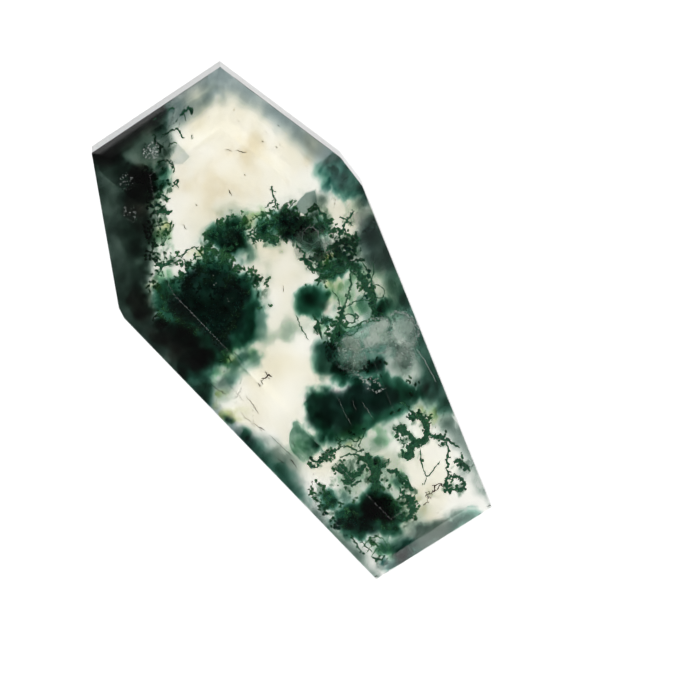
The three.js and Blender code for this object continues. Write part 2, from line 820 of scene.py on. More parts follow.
@dataclass
class PatchyField:
    """Smooth random values over a plane, with finer layers on coarser ones."""

    seed: int
    layers: int = 4
    fade: float = 0.55
    finer: float = 2.03
    strength: float = 1.6
    size: int = 64

    def values(self, places: np.ndarray, patch: float) -> np.ndarray:
        """Reads the field.

        Args:
            places: (n, 2) in mm.
            patch: the width of its coarsest patches, in mm.

        Returns:
            (n,) values around 0, mostly within 1.
        """
        random = np.random.default_rng(self.seed)
        total = np.zeros(len(places))
        strength, scale, most = 1.0, 1.0 / patch, 0.0
        for _ in range(self.layers):
            lattice = random.standard_normal((self.size, self.size))
            total += strength * self._layer(lattice, places * scale + random.uniform(0, self.size, 2))
            most += strength**2
            strength *= self.fade
            scale *= self.finer
        return total / math.sqrt(most) * self.strength

    def _layer(self, lattice: np.ndarray, places: np.ndarray) -> np.ndarray:
        """Reads one layer, smooth between the values of a lattice.

        Args:
            lattice: its random values, repeated without end.
            places: (n, 2) in units of the lattice.

        Returns:
            (n,) values.
        """
        low = np.floor(places).astype(int)
        part = places - low
        part = part * part * (3 - 2 * part)
        (i, j), (a, b) = low.T % self.size, part.T
        after_i, after_j = (i + 1) % self.size, (j + 1) % self.size
        near = lattice[i, j] * (1 - a) + lattice[after_i, j] * a
        far = lattice[i, after_j] * (1 - a) + lattice[after_i, after_j] * a
        return near * (1 - b) + far * b


class Region:
    """A patchy area across the stone: the union of spots and bands at one height."""

    def __init__(self, guide: "Guide", marks: Marks, height: float, cover: float = 0.0) -> None:
        """Places the marks.

        Args:
            guide: turns the photograph's pixels into places.
            marks: spots (x, y, radius) and bands (x, y, x, y, radius), in pixels.
            height: how high they are, in mm.
            cover: how deep under the skin they are at least, in mm.
        """
        self.starts = guide.places_under([mark[:2] for mark in marks], height, cover)[:, :2]
        self.ends = guide.places_under([mark[-3:-1] for mark in marks], height, cover)[:, :2]
        self.reaches = guide.length(1) * np.array([mark[-1] for mark in marks])

    def box(self, edge: float) -> tuple[np.ndarray, np.ndarray]:
        """The low and high corners around it, an edge's width out."""
        out = (self.reaches + edge)[:, None]
        low = np.minimum(self.starts, self.ends) - out
        high = np.maximum(self.starts, self.ends) + out
        return low.min(0), high.max(0)

    def inside(self, places: np.ndarray) -> tuple[np.ndarray, np.ndarray]:
        """How far inside its edge places are.

        Args:
            places: (n, 2) in mm.

        Returns:
            The depth in mm, less than 0 outside, and the way out of the nearest mark, (n, 2).
        """
        depth = np.full(len(places), -np.inf)
        outward = np.zeros((len(places), 2))
        for start, end, reach in zip(self.starts, self.ends, self.reaches):
            line = end - start
            part = np.clip((places - start) @ line / max(line @ line, TINY), 0, 1)
            away = places - start - part[:, None] * line
            far = np.linalg.norm(away, axis=1)
            nearer = reach - far > depth
            depth = np.where(nearer, reach - far, depth)
            outward = np.where(nearer[:, None], away / np.maximum(far, 1e-6)[:, None], outward)
        return depth, outward


@dataclass(frozen=True)
class Generation:
    """One order of branches: how many grow on each older one, and their form, in mm."""

    children: float
    length: float
    points: int
    radius: float
    curl: float
    lumps: float


@dataclass(frozen=True)
class Thicket:
    """A thicket of moss that fills marks in the photograph, at one height."""

    name: str
    height: float
    half_depth: float
    tufts: Marks
    fringe: float = 1.0
    heart: float = 1.0
    tip_tint: float = 1.0
    reach: float = 1.0


BRANCHES = (
    Generation(children=1.0, length=0.18, points=5, radius=0.024, curl=0.3, lumps=0.8),
    Generation(children=2.2, length=0.1, points=4, radius=0.02, curl=0.4, lumps=0.85),
    Generation(children=0.8, length=0.06, points=3, radius=0.016, curl=0.5, lumps=0.9),
)


@dataclass
class MossGrower:
    """Grows thickets: branching threads with lumps, thick at the edge, and dark lumps within."""

    guide: Guide
    material: bpy.types.Material
    fringe_per_mm2: float = 105.0
    within_per_mm2: float = 5.0
    fringe_width: float = 0.3
    lump_radius: tuple[float, float] = (0.022, 0.062)
    heart_radius: tuple[float, float] = (0.05, 0.12)
    hearts_per_mm2: float = 22.0
    heart_depth: float = 0.1
    heart_full_depth: float = 0.2
    least_heart: float = 0.35
    outward: float = 1.1
    stray: tuple[float, float, float] = (0.8, 0.8, 0.4)
    branch_stray: tuple[float, float, float] = (1.1, 1.1, 0.6)
    length_range: tuple[float, float] = (0.4, 1.3)
    radius_range: tuple[float, float] = (0.8, 1.5)
    taper: tuple[float, float] = (1.15, 0.5)
    edge_tint: float = 0.55
    tint_depth: float = 0.35
    edge_patch: float = 0.4
    edge_raggedness: float = 0.1

    def grow(self, thicket: Thicket, seed: int) -> bpy.types.Object:
        """Grows one thicket.

        Args:
            thicket: what to grow.
            seed: its random numbers' seed.

        Returns:
            The piece.
        """
        shaper = Shaper(seed)
        random = shaper.random
        bin_ = MeshBin()
        region = Region(self.guide, thicket.tufts, thicket.height)
        places, depth, outward = self._scatter(region, random, self.fringe_per_mm2 * thicket.fringe)
        fringe = depth < self.fringe_width
        chosen = fringe | (random.random(len(depth)) < self.within_per_mm2 / self.fringe_per_mm2)
        places, depth, outward = places[chosen], depth[chosen], outward[chosen]
        roots = self._lift(thicket, random, places, depth)
        directions = np.column_stack([outward * self.outward, np.zeros(len(roots))])
        directions = directions + random.standard_normal(directions.shape) * self.stray
        paths = np.empty((0, 2, 3))
        for order, branch in enumerate(BRANCHES):
            if order:
                number = int(len(paths) * branch.children)
                parents = random.integers(0, len(paths), number)
                nodes = random.integers(1, paths.shape[1], number)
                roots = paths[parents, nodes]
                directions = paths[parents, nodes] - paths[parents, nodes - 1]
                stray = random.standard_normal(directions.shape) * self.branch_stray
                directions = unit(directions) + stray
            lengths = thicket.reach * branch.length * random.uniform(*self.length_range, len(roots))
            paths = shaper.wander(roots, directions, lengths, branch.points, branch.curl)
            depth, _ = region.inside(paths[..., :2].reshape(-1, 2))
            faded = self.edge_tint - depth.reshape(paths.shape[:2]) / self.tint_depth
            tints = np.clip(faded, 0, 1) * thicket.tip_tint
            taper = np.linspace(*self.taper, branch.points)[None, :]
            radii = branch.radius * taper * random.uniform(*self.radius_range, (len(paths), 1))
            shaper.threads(bin_, paths, radii, tints)
            some = random.random(paths.shape[:2]) < branch.lumps
            size = random.uniform(*self.lump_radius, int(some.sum()))
            shaper.lumps(bin_, paths[some], size, tints[some])
        self._hearts(thicket, region, shaper, bin_)
        return bin_.build(thicket.name, self.material, self.guide.facets)

    def _scatter(
        self, region: Region, random: np.random.Generator, per_mm2: float
    ) -> tuple[np.ndarray, np.ndarray, np.ndarray]:
        """Strews places evenly over a region.

        Args:
            region: where.
            random: the random numbers.
            per_mm2: how many.

        Returns:
            The places, their depths inside the edge and the ways out.
        """
        low, high = region.box(0.0)
        places = random.uniform(low, high, (int(per_mm2 * np.prod(high - low)), 2))
        depth, outward = region.inside(places)
        ragged = PatchyField(int(random.integers(1000))).values(places, self.edge_patch)
        depth = depth + self.edge_raggedness * ragged
        kept = depth > 0
        return places[kept], depth[kept], outward[kept]

    @staticmethod
    def _lift(
        thicket: Thicket, random: np.random.Generator, places: np.ndarray, depth: np.ndarray
    ) -> np.ndarray:
        """Gives places a height within a thicket, which is thinner towards its edge.

        Args:
            thicket: the thicket.
            random: the random numbers.
            places: (n, 2) in mm.
            depth: (n,) how far inside the edge they are.

        Returns:
            (n, 3) places.
        """
        room = thicket.half_depth * np.sqrt(np.clip(depth / 0.5, 0.08, 1))
        return np.column_stack([places, thicket.height + room * random.uniform(-1, 1, len(places))])

    def _hearts(self, thicket: Thicket, region: Region, shaper: Shaper, bin_: MeshBin) -> None:
        """Adds the dark lumps inside a thicket.

        Args:
            thicket: the thicket.
            region: its area.
            shaper: the shapes' maker.
            bin_: where they go.
        """
        per_mm2 = self.hearts_per_mm2 * thicket.heart
        places, depth, _ = self._scatter(region, shaper.random, per_mm2)
        deep = depth > self.heart_depth * thicket.reach
        places, depth = places[deep], depth[deep]
        if len(places):
            centres = self._lift(thicket, shaper.random, places, depth)
            size = shaper.random.uniform(*self.heart_radius, len(places))
            size = size * np.clip(depth / self.heart_full_depth, self.least_heart, 1)
            shaper.lumps(bin_, centres, size, np.zeros(len(places)), steps=2, roughness=0.12)


LEFT_BAND = Thicket(
    name="left_band_moss", height=1.7, half_depth=0.35, heart=0.7, reach=0.5,
    tufts=(
        (150, 190, 4), (155, 199, 3), (152, 209, 5), (160, 211, 3), (151, 220, 4), (158, 219, 3),
        (152, 231, 4), (159, 228, 2), (151, 242, 4), (158, 240, 2.5), (150, 254, 4), (156, 262, 4),
        (164, 264, 3), (151, 272, 4), (158, 272, 2.5), (150, 284, 3.5), (148, 297, 4), (149, 310, 4),
        (147, 172, 5), (168, 166, 3), (163, 160, 2.5), (156, 252, 2), (162, 198, 2), (164, 173, 3),
        (167, 181, 3), (161, 187, 4), (170, 189, 2),
    ),
)
CENTRE_CLUMP = Thicket(
    name="centre_clump_moss", height=1.9, half_depth=0.5, heart=0.0, reach=0.85,
    tufts=(
        (190, 273, 8), (199, 263, 6), (213, 268, 10), (225, 269, 8), (241, 279, 9), (252, 280, 6),
        (260, 283, 4), (260, 292, 4), (256, 300, 5), (178, 286, 9), (168, 292, 5), (172, 303, 9),
        (169, 314, 6), (190, 298, 15), (210, 298, 18), (232, 298, 15), (196, 318, 12), (216, 322, 14),
        (222, 342, 5), (231, 346, 3), (166, 322, 3), (208, 252, 5), (215, 258, 5), (226, 262, 3),
        (184, 268, 4), (264, 282, 2.5), (266, 290, 2.5), (265, 299, 2.5), (262, 306, 3),
    ),
)
UPPER_CLUMP = Thicket(
    name="upper_clump_moss", height=2.2, half_depth=0.3, heart=0.5, reach=0.7,
    tufts=(
        (232, 223, 8), (222, 231, 7), (212, 236, 6), (238, 233, 8), (228, 243, 7), (206, 243, 3),
        (250, 238, 5), (256, 230, 4), (263, 239, 5), (267, 224, 4.5), (272, 233, 4), (284, 221, 8),
        (293, 222, 7), (304, 225, 5), (318, 228, 4), (274, 243, 4), (281, 212, 4), (286, 235, 4),
        (262, 231, 3), (244, 228, 4), (247, 246, 2), (270, 216, 3), (264, 218, 2.5), (290, 209, 2.5),
        (321, 213, 3), (258, 243, 2), (280, 246, 2.5), (297, 243, 2.5), (275, 222, 3),
    ),
)
RIGHT_NET = Thicket(
    name="right_net_moss", height=2.15, half_depth=0.2, heart=2.5, reach=0.35,
    tufts=(
        (347, 222, 3), (337, 237, 3), (340, 243, 4), (340, 255, 6), (348, 257, 5), (338, 263, 4),
        (331, 250, 3), (331, 228, 3), (322, 258, 3), (314, 262, 3), (343, 234, 3), (352, 240, 3),
        (356, 250, 3.5), (328, 222, 2.5), (311, 270, 3), (346, 246, 3.5), (325, 268, 4), (318, 267, 3),
        (323, 278, 4), (330, 275, 4), (338, 271, 3), (353, 265, 3.5), (357, 272, 4), (363, 279, 4.5),
        (368, 287, 3), (371, 296, 3), (374, 306, 4), (377, 313, 4), (338, 323, 3), (334, 334, 6),
        (334, 342, 6), (340, 335, 3), (326, 338, 3), (322, 321, 3), (318, 328, 2),
    ),
)
LOWER_MASS = Thicket(
    name="lower_mass_moss", height=1.3, half_depth=0.25, fringe=0.3, heart=0.0, reach=0.5,
    tufts=(
        (378, 364, 6), (372, 378, 4), (352, 380, 3), (336, 438, 4), (350, 436, 4), (362, 429, 3),
        (412, 386, 4), (416, 396, 3), (402, 406, 3), (304, 387, 2), (390, 378, 3),
    ),
)
RIGHT_BRANCHES = Thicket(
    name="right_branch_moss", height=2.3, half_depth=0.1, heart=3.0, tip_tint=0.7, reach=0.3,
    tufts=(
        (412, 417, 3.5), (402, 428, 2.5), (409, 435, 2.5), (423, 418, 2.5), (425, 428, 3),
        (425, 437, 3), (418, 443, 2.5), (405, 455, 3.5), (412, 457, 2), (444, 439, 2.5),
        (459, 464, 2.5), (467, 467, 2.5), (448, 487, 3), (462, 489, 2.5),
    ),
)
FOOT_CLUMP = Thicket(
    name="foot_clump_moss", height=2.0, half_depth=0.3, heart=1.0, reach=0.4,
    tufts=(
        (315, 463, 3), (326, 457, 2.5), (346, 469, 4), (354, 464, 3.5), (351, 478, 4), (359, 471, 4),
        (343, 477, 3), (368, 456, 3), (372, 464, 4), (376, 474, 4.5), (376, 485, 4), (320, 497, 4),
        (328, 494, 3), (324, 506, 4), (332, 502, 3), (331, 513, 3.5), (338, 521, 6), (350, 523, 8),
        (364, 523, 9), (376, 512, 8), (387, 506, 6), (402, 500, 3), (410, 499, 3), (412, 508, 3),
        (410, 517, 3.5), (402, 521, 4), (394, 526, 4), (398, 510, 2.5), (392, 473, 2.5), (399, 479, 3),
        (407, 486, 3), (378, 559, 2.5), (346, 490, 2.5), (385, 465, 2), (338, 468, 3), (360, 462, 3),
        (350, 497, 3), (340, 504, 3), (385, 480, 3), (392, 488, 3), (400, 494, 3), (413, 493, 2.5),
        (404, 507, 3), (336, 512, 4), (324, 514, 3), (318, 490, 2.5), (333, 482, 2), (366, 478, 3),
        (356, 486, 2.5), (343, 463, 2.5), (356, 539, 3), (372, 537, 3), (397, 530, 3),
    ),
)
THICKETS = (
    LEFT_BAND, CENTRE_CLUMP, UPPER_CLUMP, RIGHT_NET, LOWER_MASS, RIGHT_BRANCHES, FOOT_CLUMP,
)


@dataclass(frozen=True)
class Strand:
    """One named thread: its way through the photograph, its thickness there and its knobs."""

    way: tuple[Pixel, ...]
    thick: float = 2.4
    knobs: float = 1.0
    spurs: float = 0.2
    height: float = 2.6
    tint: float = 0.4


@dataclass
class StrandMaker:
    """Makes threads along given ways, with knobs and spurs on them."""

    guide: Guide
    spacing: float = 1.6
    waver: float = 0.8
    spur_length: tuple[float, float] = (1.2, 3.4)
    lumps_a_step: int = 4
    least_waver: float = 0.15
    drift: float = 0.012
    end_width: float = 0.45
    thickness_range: tuple[float, float] = (0.5, 1.15)
    knob_range: tuple[float, float] = (0.3, 0.85)
    knob_reach: float = 1.04
    knob_tint: tuple[float, float] = (-0.2, 0.3)
    spur_points: int = 4
    spur_taper: tuple[float, float] = (0.75, 0.4)
    spur_stray: tuple[float, float, float] = (1, 1, 0.4)
    tip_range: tuple[float, float] = (0.7, 1.4)
    curve_steps: int = 12

    def make(
        self, name: str, strands: Sequence[Strand], material: bpy.types.Material, slot: Slot, seed: int
    ) -> bpy.types.Object:
        """Makes one piece of many threads.

        Args:
            name: the piece's name.
            strands: its threads.
            material: its finish.
            slot: not used.
            seed: its random numbers' seed.

        Returns:
            The piece.
        """
        shaper = Shaper(seed)
        bin_ = MeshBin()
        for strand in strands:
            self._strand(strand, shaper, bin_)
        return bin_.build(name, material, self.guide.facets)

    def _strand(self, strand: Strand, shaper: Shaper, bin_: MeshBin) -> None:
        """Adds one thread.

        Args:
            strand: the thread.
            shaper: the shapes' maker.
            bin_: where it goes.
        """
        random = shaper.random
        pixels = self._resample(np.array(strand.way, float))
        unsteady = self.waver * random.standard_normal(pixels.shape)
        pixels += unsteady * (strand.knobs + self.least_waver)
        count = len(pixels)
        drift = np.cumsum(random.standard_normal(count)) * self.drift
        path = self.guide.places(pixels, strand.height + drift)
        radius = self.guide.length(strand.thick) / 2
        from_end = np.minimum(np.arange(count), np.arange(count)[::-1])
        ends = np.minimum(1, self.end_width + from_end / 3)
        radii = radius * ends * random.uniform(*self.thickness_range, count)
        tints = np.full(count, strand.tint)
        shaper.threads(bin_, path[None], radii[None], tints[None], sides=5)
        some = np.flatnonzero(random.random(count * self.lumps_a_step) < strand.knobs) % count
        spread = radii[some][:, None] * unit(random.standard_normal((len(some), 3)))
        size = radii[some] * random.uniform(*self.knob_range, len(some))
        tints = np.clip(strand.tint + random.uniform(*self.knob_tint, len(some)), 0, 1)
        centres = path[some] + spread * self.knob_reach
        shaper.lumps(bin_, centres, size, tints, steps=1, roughness=0.25)
        spurred = path[random.random(count) < strand.spurs]
        lengths = self.guide.length(1) * random.uniform(*self.spur_length, len(spurred))
        headings = random.standard_normal(spurred.shape) * self.spur_stray
        spurs = shaper.wander(spurred, headings, lengths, self.spur_points, curl=0.4)
        taper = radius * np.linspace(*self.spur_taper, self.spur_points)[None].repeat(len(spurs), 0)
        shaper.threads(bin_, spurs, taper, np.full(taper.shape, strand.tint))
        size = radius * random.uniform(*self.tip_range, len(spurs))
        shaper.lumps(bin_, spurs[:, -1], size, np.full(len(spurs), strand.tint), steps=1)

    def _resample(self, way: np.ndarray) -> np.ndarray:
        """Points at even steps along a smooth curve through a thread's way.

        Args:
            way: (n, 2) in pixels.

        Returns:
            (m, 2) in pixels.
        """
        ends = np.vstack([2 * way[0] - way[1], way, 2 * way[-1] - way[-2]])
        t = np.linspace(0, 1, self.curve_steps, endpoint=False)[:, None]
        parts = []
        for p0, p1, p2, p3 in zip(ends, ends[1:], ends[2:], ends[3:]):
            bend = 2 * p0 - 5 * p1 + 4 * p2 - p3
            turn = 3 * p1 - p0 - 3 * p2 + p3
            parts.append(0.5 * (2 * p1 + (p2 - p0) * t + bend * t**2 + turn * t**3))
        curve = np.vstack([*parts, way[-1:]])
        run = np.concatenate([[0], np.cumsum(np.linalg.norm(np.diff(curve, axis=0), axis=1))])
        count = max(4, int(run[-1] / self.spacing) + 1)
        steps = np.linspace(0, run[-1], count)
        return np.column_stack([np.interp(steps, run, curve[:, k]) for k in range(2)])


@dataclass(frozen=True)
class Stain:
    """A soft, ragged lens of a stain, of painted shade or of a milky mineral, thickest where its marks
    are.

    Its marks are spots and bands in the photograph, (x, y, radius) or (x, y, x, y, radius), in
    pixels, as are its edge's softness, its raggedness and the width of its patches. At the usual
    height it lies close under the skin, all over the crown.
    """

    finish: Union[SoftStain, MilkyFinish]
    softness: float
    raggedness: float
    patch: float
    marks: Marks
    height: float = 3.0
    thickness: float = 0.5
    mottle: float = 0.2
    step: float = 2.5
    slot: Slot = Slot.MOSS


@dataclass
class StainMaker:
    """Makes stains as lenses of changing thickness that thin out to nothing at their edges."""

    guide: Guide
    ragged_limits: tuple[float, float] = (-1.6, 1.0)
    mottle_limits: tuple[float, float] = (0.05, 3)
    edge_power: float = 1.4
    mottle_patch: float = 0.7
    first_layer: float = SKIN + 0.01
    layer_step: float = 0.0017
    layers: int = 50

    def make(self, stain: Stain, seed: int) -> bpy.types.Object:
        """Makes one stain.

        Args:
            stain: what to make.
            seed: its random numbers' seed.

        Returns:
            The piece.
        """
        step = self.guide.length(stain.step)
        region = Region(self.guide, stain.marks, stain.height, SKIN + stain.thickness / 2)
        low, high = region.box(self.guide.length(stain.raggedness + stain.softness / 2) + 2 * step)
        across, along = (int((high[k] - low[k]) / step) + 2 for k in range(2))
        i, j = np.meshgrid(np.arange(across), np.arange(along), indexing="ij")
        places = low + np.column_stack([i.ravel(), j.ravel()]) * step
        thick = self._thickness(stain, seed, places, region).reshape(across, along)
        thick[[0, -1], :] = 0
        thick[:, [0, -1]] = 0
        layer = self.first_layer + self.layer_step * (seed % self.layers)
        return self._lens(stain, places, thick, layer)

    def _thickness(self, stain: Stain, seed: int, places: np.ndarray, region: Region) -> np.ndarray:
        """How thick a stain is at places across the stone.

        Args:
            stain: the stain.
            seed: its random numbers' seed.
            places: (n, 2) in mm.
            region: its area.

        Returns:
            (n,) in mm, 0 outside it.
        """
        inside, _ = region.inside(places)
        patch = self.guide.length(stain.patch)
        ragged = np.clip(PatchyField(seed).values(places, patch), *self.ragged_limits)
        inside += ragged * self.guide.length(stain.raggedness)
        full = np.clip(0.5 + inside / self.guide.length(stain.softness), 0, 1)
        full = (full * full * (3 - 2 * full)) ** self.edge_power
        mottle = PatchyField(seed + self.layers).values(places, patch * self.mottle_patch)
        return stain.thickness * full * np.clip(1 + stain.mottle * mottle, *self.mottle_limits)

    def _lens(
        self, stain: Stain, places: np.ndarray, thick: np.ndarray, margin: float
    ) -> bpy.types.Object:
        """Makes the lens's mesh, moved up or down as a whole where the stone's skin is in its way.

        Args:
            stain: the stain.
            places: (n, 2) its grid, in mm.
            thick: its thickness over the grid.
            margin: its least depth under every face, in mm, different for each so that none touch.

        Returns:
            The piece.
        """
        facets = self.guide.facets
        flat, size = thick.ravel(), thick.size
        level = np.column_stack([places, np.full(size, GIRDLE_MIDDLE)])
        outside = facets.depth(level) < 0
        places = facets.keep_inside(level, margin)[:, :2]
        low, high = facets.span(places, margin)
        middle = np.clip(stain.height, low + flat / 2, high - flat / 2)
        top = np.column_stack([places, middle + flat / 2])
        bottom = np.column_stack([places, middle - flat / 2])
        numbers = np.arange(size).reshape(thick.shape)
        corners = np.stack([numbers[:-1, :-1], numbers[1:, :-1], numbers[1:, 1:], numbers[:-1, 1:]], -1)
        corners = corners.reshape(-1, 4)
        corners = corners[(flat[corners] > 0).any(1) & ~outside[corners].all(1)]
        upper = np.concatenate([corners[:, [0, 1, 2]], corners[:, [0, 2, 3]]])
        below = np.where(flat > 0, np.arange(size) + size, np.arange(size))
        start, end = self._rim(upper, size).T
        near = np.stack([end, start, below[start]], -1)
        far = np.stack([end, below[start], below[end]], -1)
        faces = np.concatenate([upper, below[upper][:, ::-1], near, far])
        faces = faces[(faces != np.roll(faces, 1, axis=1)).all(1)]
        used, faces = np.unique(faces, return_inverse=True)
        bin_ = MeshBin()
        tints = np.clip(np.tile(flat, 2)[used] / stain.thickness, 0, 1)
        bin_.add(np.concatenate([top, bottom])[used], faces.reshape(-1, 3), tints)
        return bin_.build(stain.finish.name, stain.finish.make(), facets)

    @staticmethod
    def _rim(faces: np.ndarray, size: int) -> np.ndarray:
        """The open edges of a sheet of triangles.

        Args:
            faces: (n, 3) the triangles.
            size: more than any point's number.

        Returns:
            (m, 2) the edges' points, in their triangles' order.
        """
        edges = np.concatenate([faces[:, [0, 1]], faces[:, [1, 2]], faces[:, [2, 0]]])
        forward, backward = edges @ [size, 1], edges @ [1, size]
        return edges[~np.isin(forward, backward)]


def marks_of(thickets: Iterable[Thicket], wider: float) -> tuple:
    """Marks around the tufts of thickets, for a stain.

    Args:
        thickets: the thickets.
        wider: how much larger than its tuft a mark is, in pixels.

    Returns:
        The stain's marks.
    """
    return tuple((x, y, radius + wider) for t in thickets for x, y, radius in t.tufts)


def filled(outline: Sequence[Pixel], step: float = 5.0, largest: float = 12.0) -> Marks:
    """Spot marks that fill an outline drawn in the photograph.

    Args:
        outline: its corners.
        step: how far apart the spots are, in pixels.
        largest: the most that a spot's radius is, in pixels.

    Returns:
        The spots, each about as large as the outline has room for.
    """
    corners = np.array(outline, float)
    low, high = corners.min(0) + 1, corners.max(0)
    across, down = np.meshgrid(np.arange(low[0], high[0], step), np.arange(low[1], high[1], step))
    spots = np.column_stack([across.ravel(), down.ravel()])
    crossings = np.zeros(len(spots), int)
    room = np.full(len(spots), largest)
    for start, end in zip(corners, np.roll(corners, -1, axis=0)):
        line = end - start
        part = np.clip((spots - start) @ line / (line @ line), 0, 1)
        room = np.minimum(room, np.linalg.norm(spots - start - part[:, None] * line, axis=1))
        crosses = (start[1] > spots[:, 1]) != (end[1] > spots[:, 1])
        at = start[0] + (spots[:, 1] - start[1]) * line[0] / (line[1] or 1.0)
        crossings += crosses & (spots[:, 0] < at)
    kept = (crossings % 2 == 1) & (room > 1)
    return tuple((x, y, radius + 1) for (x, y), radius in zip(spots[kept], room[kept]))


def filled_all(*outlines: Sequence[Pixel]) -> Marks:
    """Spot marks that fill several outlines."""
    return sum((filled(outline) for outline in outlines), ())


def bands(way: Sequence[Pixel], radius: float) -> Marks:
    """Band marks of one radius along a way of pixels."""
    return tuple((*start, *end, radius) for start, end in zip(way, way[1:]))


CLEAR_WARM = Stain(
    SoftStain("warm_stain", (0.8, 0.74, 0.52), 0.6),
    height=0.45, thickness=0.6, softness=30, raggedness=12, patch=50, mottle=0.3, step=5,
    marks=(
        (170, 150, 40), (225, 165, 60), (290, 150, 40), (215, 210, 40), (270, 270, 40), (280, 330, 40),
        (265, 390, 40), (310, 370, 40), (330, 440, 40), (420, 470, 40), (350, 210, 40), (370, 290, 40),
    ),
)
TAN = Stain(
    SoftStain("tan_stain", (0.78, 0.68, 0.45), 0.8),
    height=0.9, softness=24, raggedness=8, patch=24, mottle=0.4, step=3,
    marks=(
        (305, 155, 14), (225, 190, 24), (250, 150, 14), (190, 175, 10), (430, 495, 8), (285, 270, 10),
    ),
)
OLIVE = Stain(
    SoftStain("olive_stain", (0.6, 0.68, 0.2), 2.2),
    softness=18, raggedness=5, patch=12, mottle=0.5,
    marks=(
        (214, 398, 232, 414, 8), (329, 259, 3), (425, 411, 434, 413, 4), (248, 216, 258, 214, 4),
        (208, 398, 222, 411, 7), (333, 288, 5), (355, 437, 8), (165, 230, 5), (156, 290, 5),
        (222, 362, 232, 360, 4), (200, 252, 5),
    ),
)
LEFT_COLUMN = (
    (70, 140), (107, 150), (124, 158), (141, 165), (153, 176), (155, 190), (149, 205), (152, 222),
    (149, 240), (150, 262), (148, 285), (147, 300), (152, 318), (166, 326), (186, 326), (204, 338),
    (212, 350), (208, 364), (190, 372), (176, 398), (103, 324),
)
COLUMN_TAIL = (
    (186, 350), (212, 350), (216, 362), (212, 374), (209, 384), (214, 392), (204, 412), (186, 410),
    (168, 386),
)
# The corner wedge is dark only where the facets turn sight away from the light: the stains over it are
# painted shade.
WEDGE = (
    (70, 146), (160, 82), (168, 96), (164, 110), (153, 124), (112, 157), (84, 160),
)
HEAD_TRIANGLE = (
    (104, 152), (112, 147), (150, 117), (160, 106), (170, 112), (171, 135), (168, 160), (162, 180),
    (150, 176), (138, 172), (110, 159),
)
RIGHT_SHOULDER = (
    (322, 172), (330, 166), (336, 158), (344, 150), (358, 150), (380, 188), (370, 197), (357, 199),
    (347, 191), (338, 189), (332, 182), (324, 178),
)
SHOULDER_HALO = (
    (319, 164), (330, 152), (342, 140), (360, 140), (392, 200), (386, 208), (362, 199), (348, 192),
    (336, 189), (325, 184), (317, 175),
)
RIGHT_DARK_ZONE = (
    (366, 214), (378, 206), (396, 200), (420, 262), (402, 268), (388, 272), (370, 262), (360, 250),
    (357, 230),
)
# The right rim: painted shade along the stone's edge, in grey and green.
RIGHT_RIM = (
    (388, 266), (404, 260), (420, 258), (472, 410), (455, 414), (440, 410), (426, 384), (413, 346),
    (400, 312), (388, 284),
)
BEHIND_CLOUD = (
    (333, 345), (344, 334), (360, 330), (367, 317), (384, 312), (392, 320), (388, 340), (384, 356),
    (378, 366), (370, 380), (350, 380), (336, 370),
)
CENTRE_MASS = (
    (176, 278), (190, 268), (214, 262), (230, 266), (244, 276), (256, 286), (261, 300), (258, 320),
    (252, 336), (242, 344), (235, 356), (222, 357), (206, 350), (186, 342), (164, 330), (155, 308),
    (159, 292), (166, 282),
)
CENTRE_CORE = (
    (196, 270), (226, 268), (244, 284), (250, 300), (242, 320), (232, 346), (222, 346), (208, 330),
    (194, 318), (176, 312), (168, 298), (182, 284),
)
CENTRE_BLUR = ((240, 298), (262, 296), (266, 312), (263, 330), (256, 344), (244, 348), (236, 336))
UPPER_MASS = (
    (206, 237), (216, 226), (230, 218), (242, 224), (246, 236), (240, 250), (227, 255), (211, 248),
)
UPPER_BLUR = (
    (214, 246), (226, 244), (240, 243), (249, 250), (247, 260), (236, 266), (222, 262),
)
UPPER_CORE = (
    (272, 217), (284, 212), (295, 213), (314, 226), (326, 224), (328, 231), (314, 234), (300, 239),
    (286, 237), (274, 229),
)
NET_BALL = (
    (298, 296), (305, 288), (316, 286), (328, 290), (332, 300), (328, 311), (318, 317), (306, 317),
    (299, 309),
)
LOWER_BLOCK = (
    (305, 392), (342, 390), (352, 379), (370, 386), (377, 373), (390, 377), (409, 383), (419, 393),
    (410, 405), (396, 412), (384, 418), (368, 430), (346, 438), (328, 441), (312, 432), (304, 420),
)
LOWER_CORE = (
    (309, 393), (342, 391), (358, 383), (384, 388), (402, 390), (399, 399), (382, 408), (364, 419),
    (344, 429), (324, 430), (311, 420),
)
FOOT_MASS = (
    (330, 519), (346, 511), (358, 499), (376, 491), (393, 498), (397, 516), (390, 531), (370, 539),
    (350, 537), (332, 530),
)
FOOT_CORE = ((334, 521), (352, 515), (374, 517), (376, 530), (352, 535), (336, 530))
FOOT_TEAL = (
    (446, 523), (452, 514), (460, 509), (468, 508), (466, 514), (458, 523), (450, 529),
)
# The foot's low crown: painted shade over its facets.
FOOT_GREY = (
    (400, 541), (415, 526), (433, 517), (450, 521), (459, 532), (470, 545), (440, 570), (404, 592),
    (374, 596), (384, 568), (394, 554),
)
FOOT_EDGE = (
    (446, 528), (454, 517), (464, 512), (474, 511), (482, 514), (492, 520), (480, 540), (455, 556),
)
FOOT_CORNER = ((386, 566), (396, 551), (408, 541), (420, 547), (426, 560), (404, 592), (376, 594))
LEFT_UMBER = (
    (130, 168), (144, 170), (152, 180), (149, 194), (144, 208), (142, 235), (134, 237), (127, 215),
    (130, 195),
)
LOWER_UMBER = ((148, 324), (170, 331), (196, 350), (206, 363), (195, 369), (176, 360), (152, 342))
LOWER_RIM = (
    (226, 440), (238, 426), (250, 432), (264, 440), (284, 448), (298, 466), (306, 486), (304, 520),
    (282, 510), (250, 480),
)
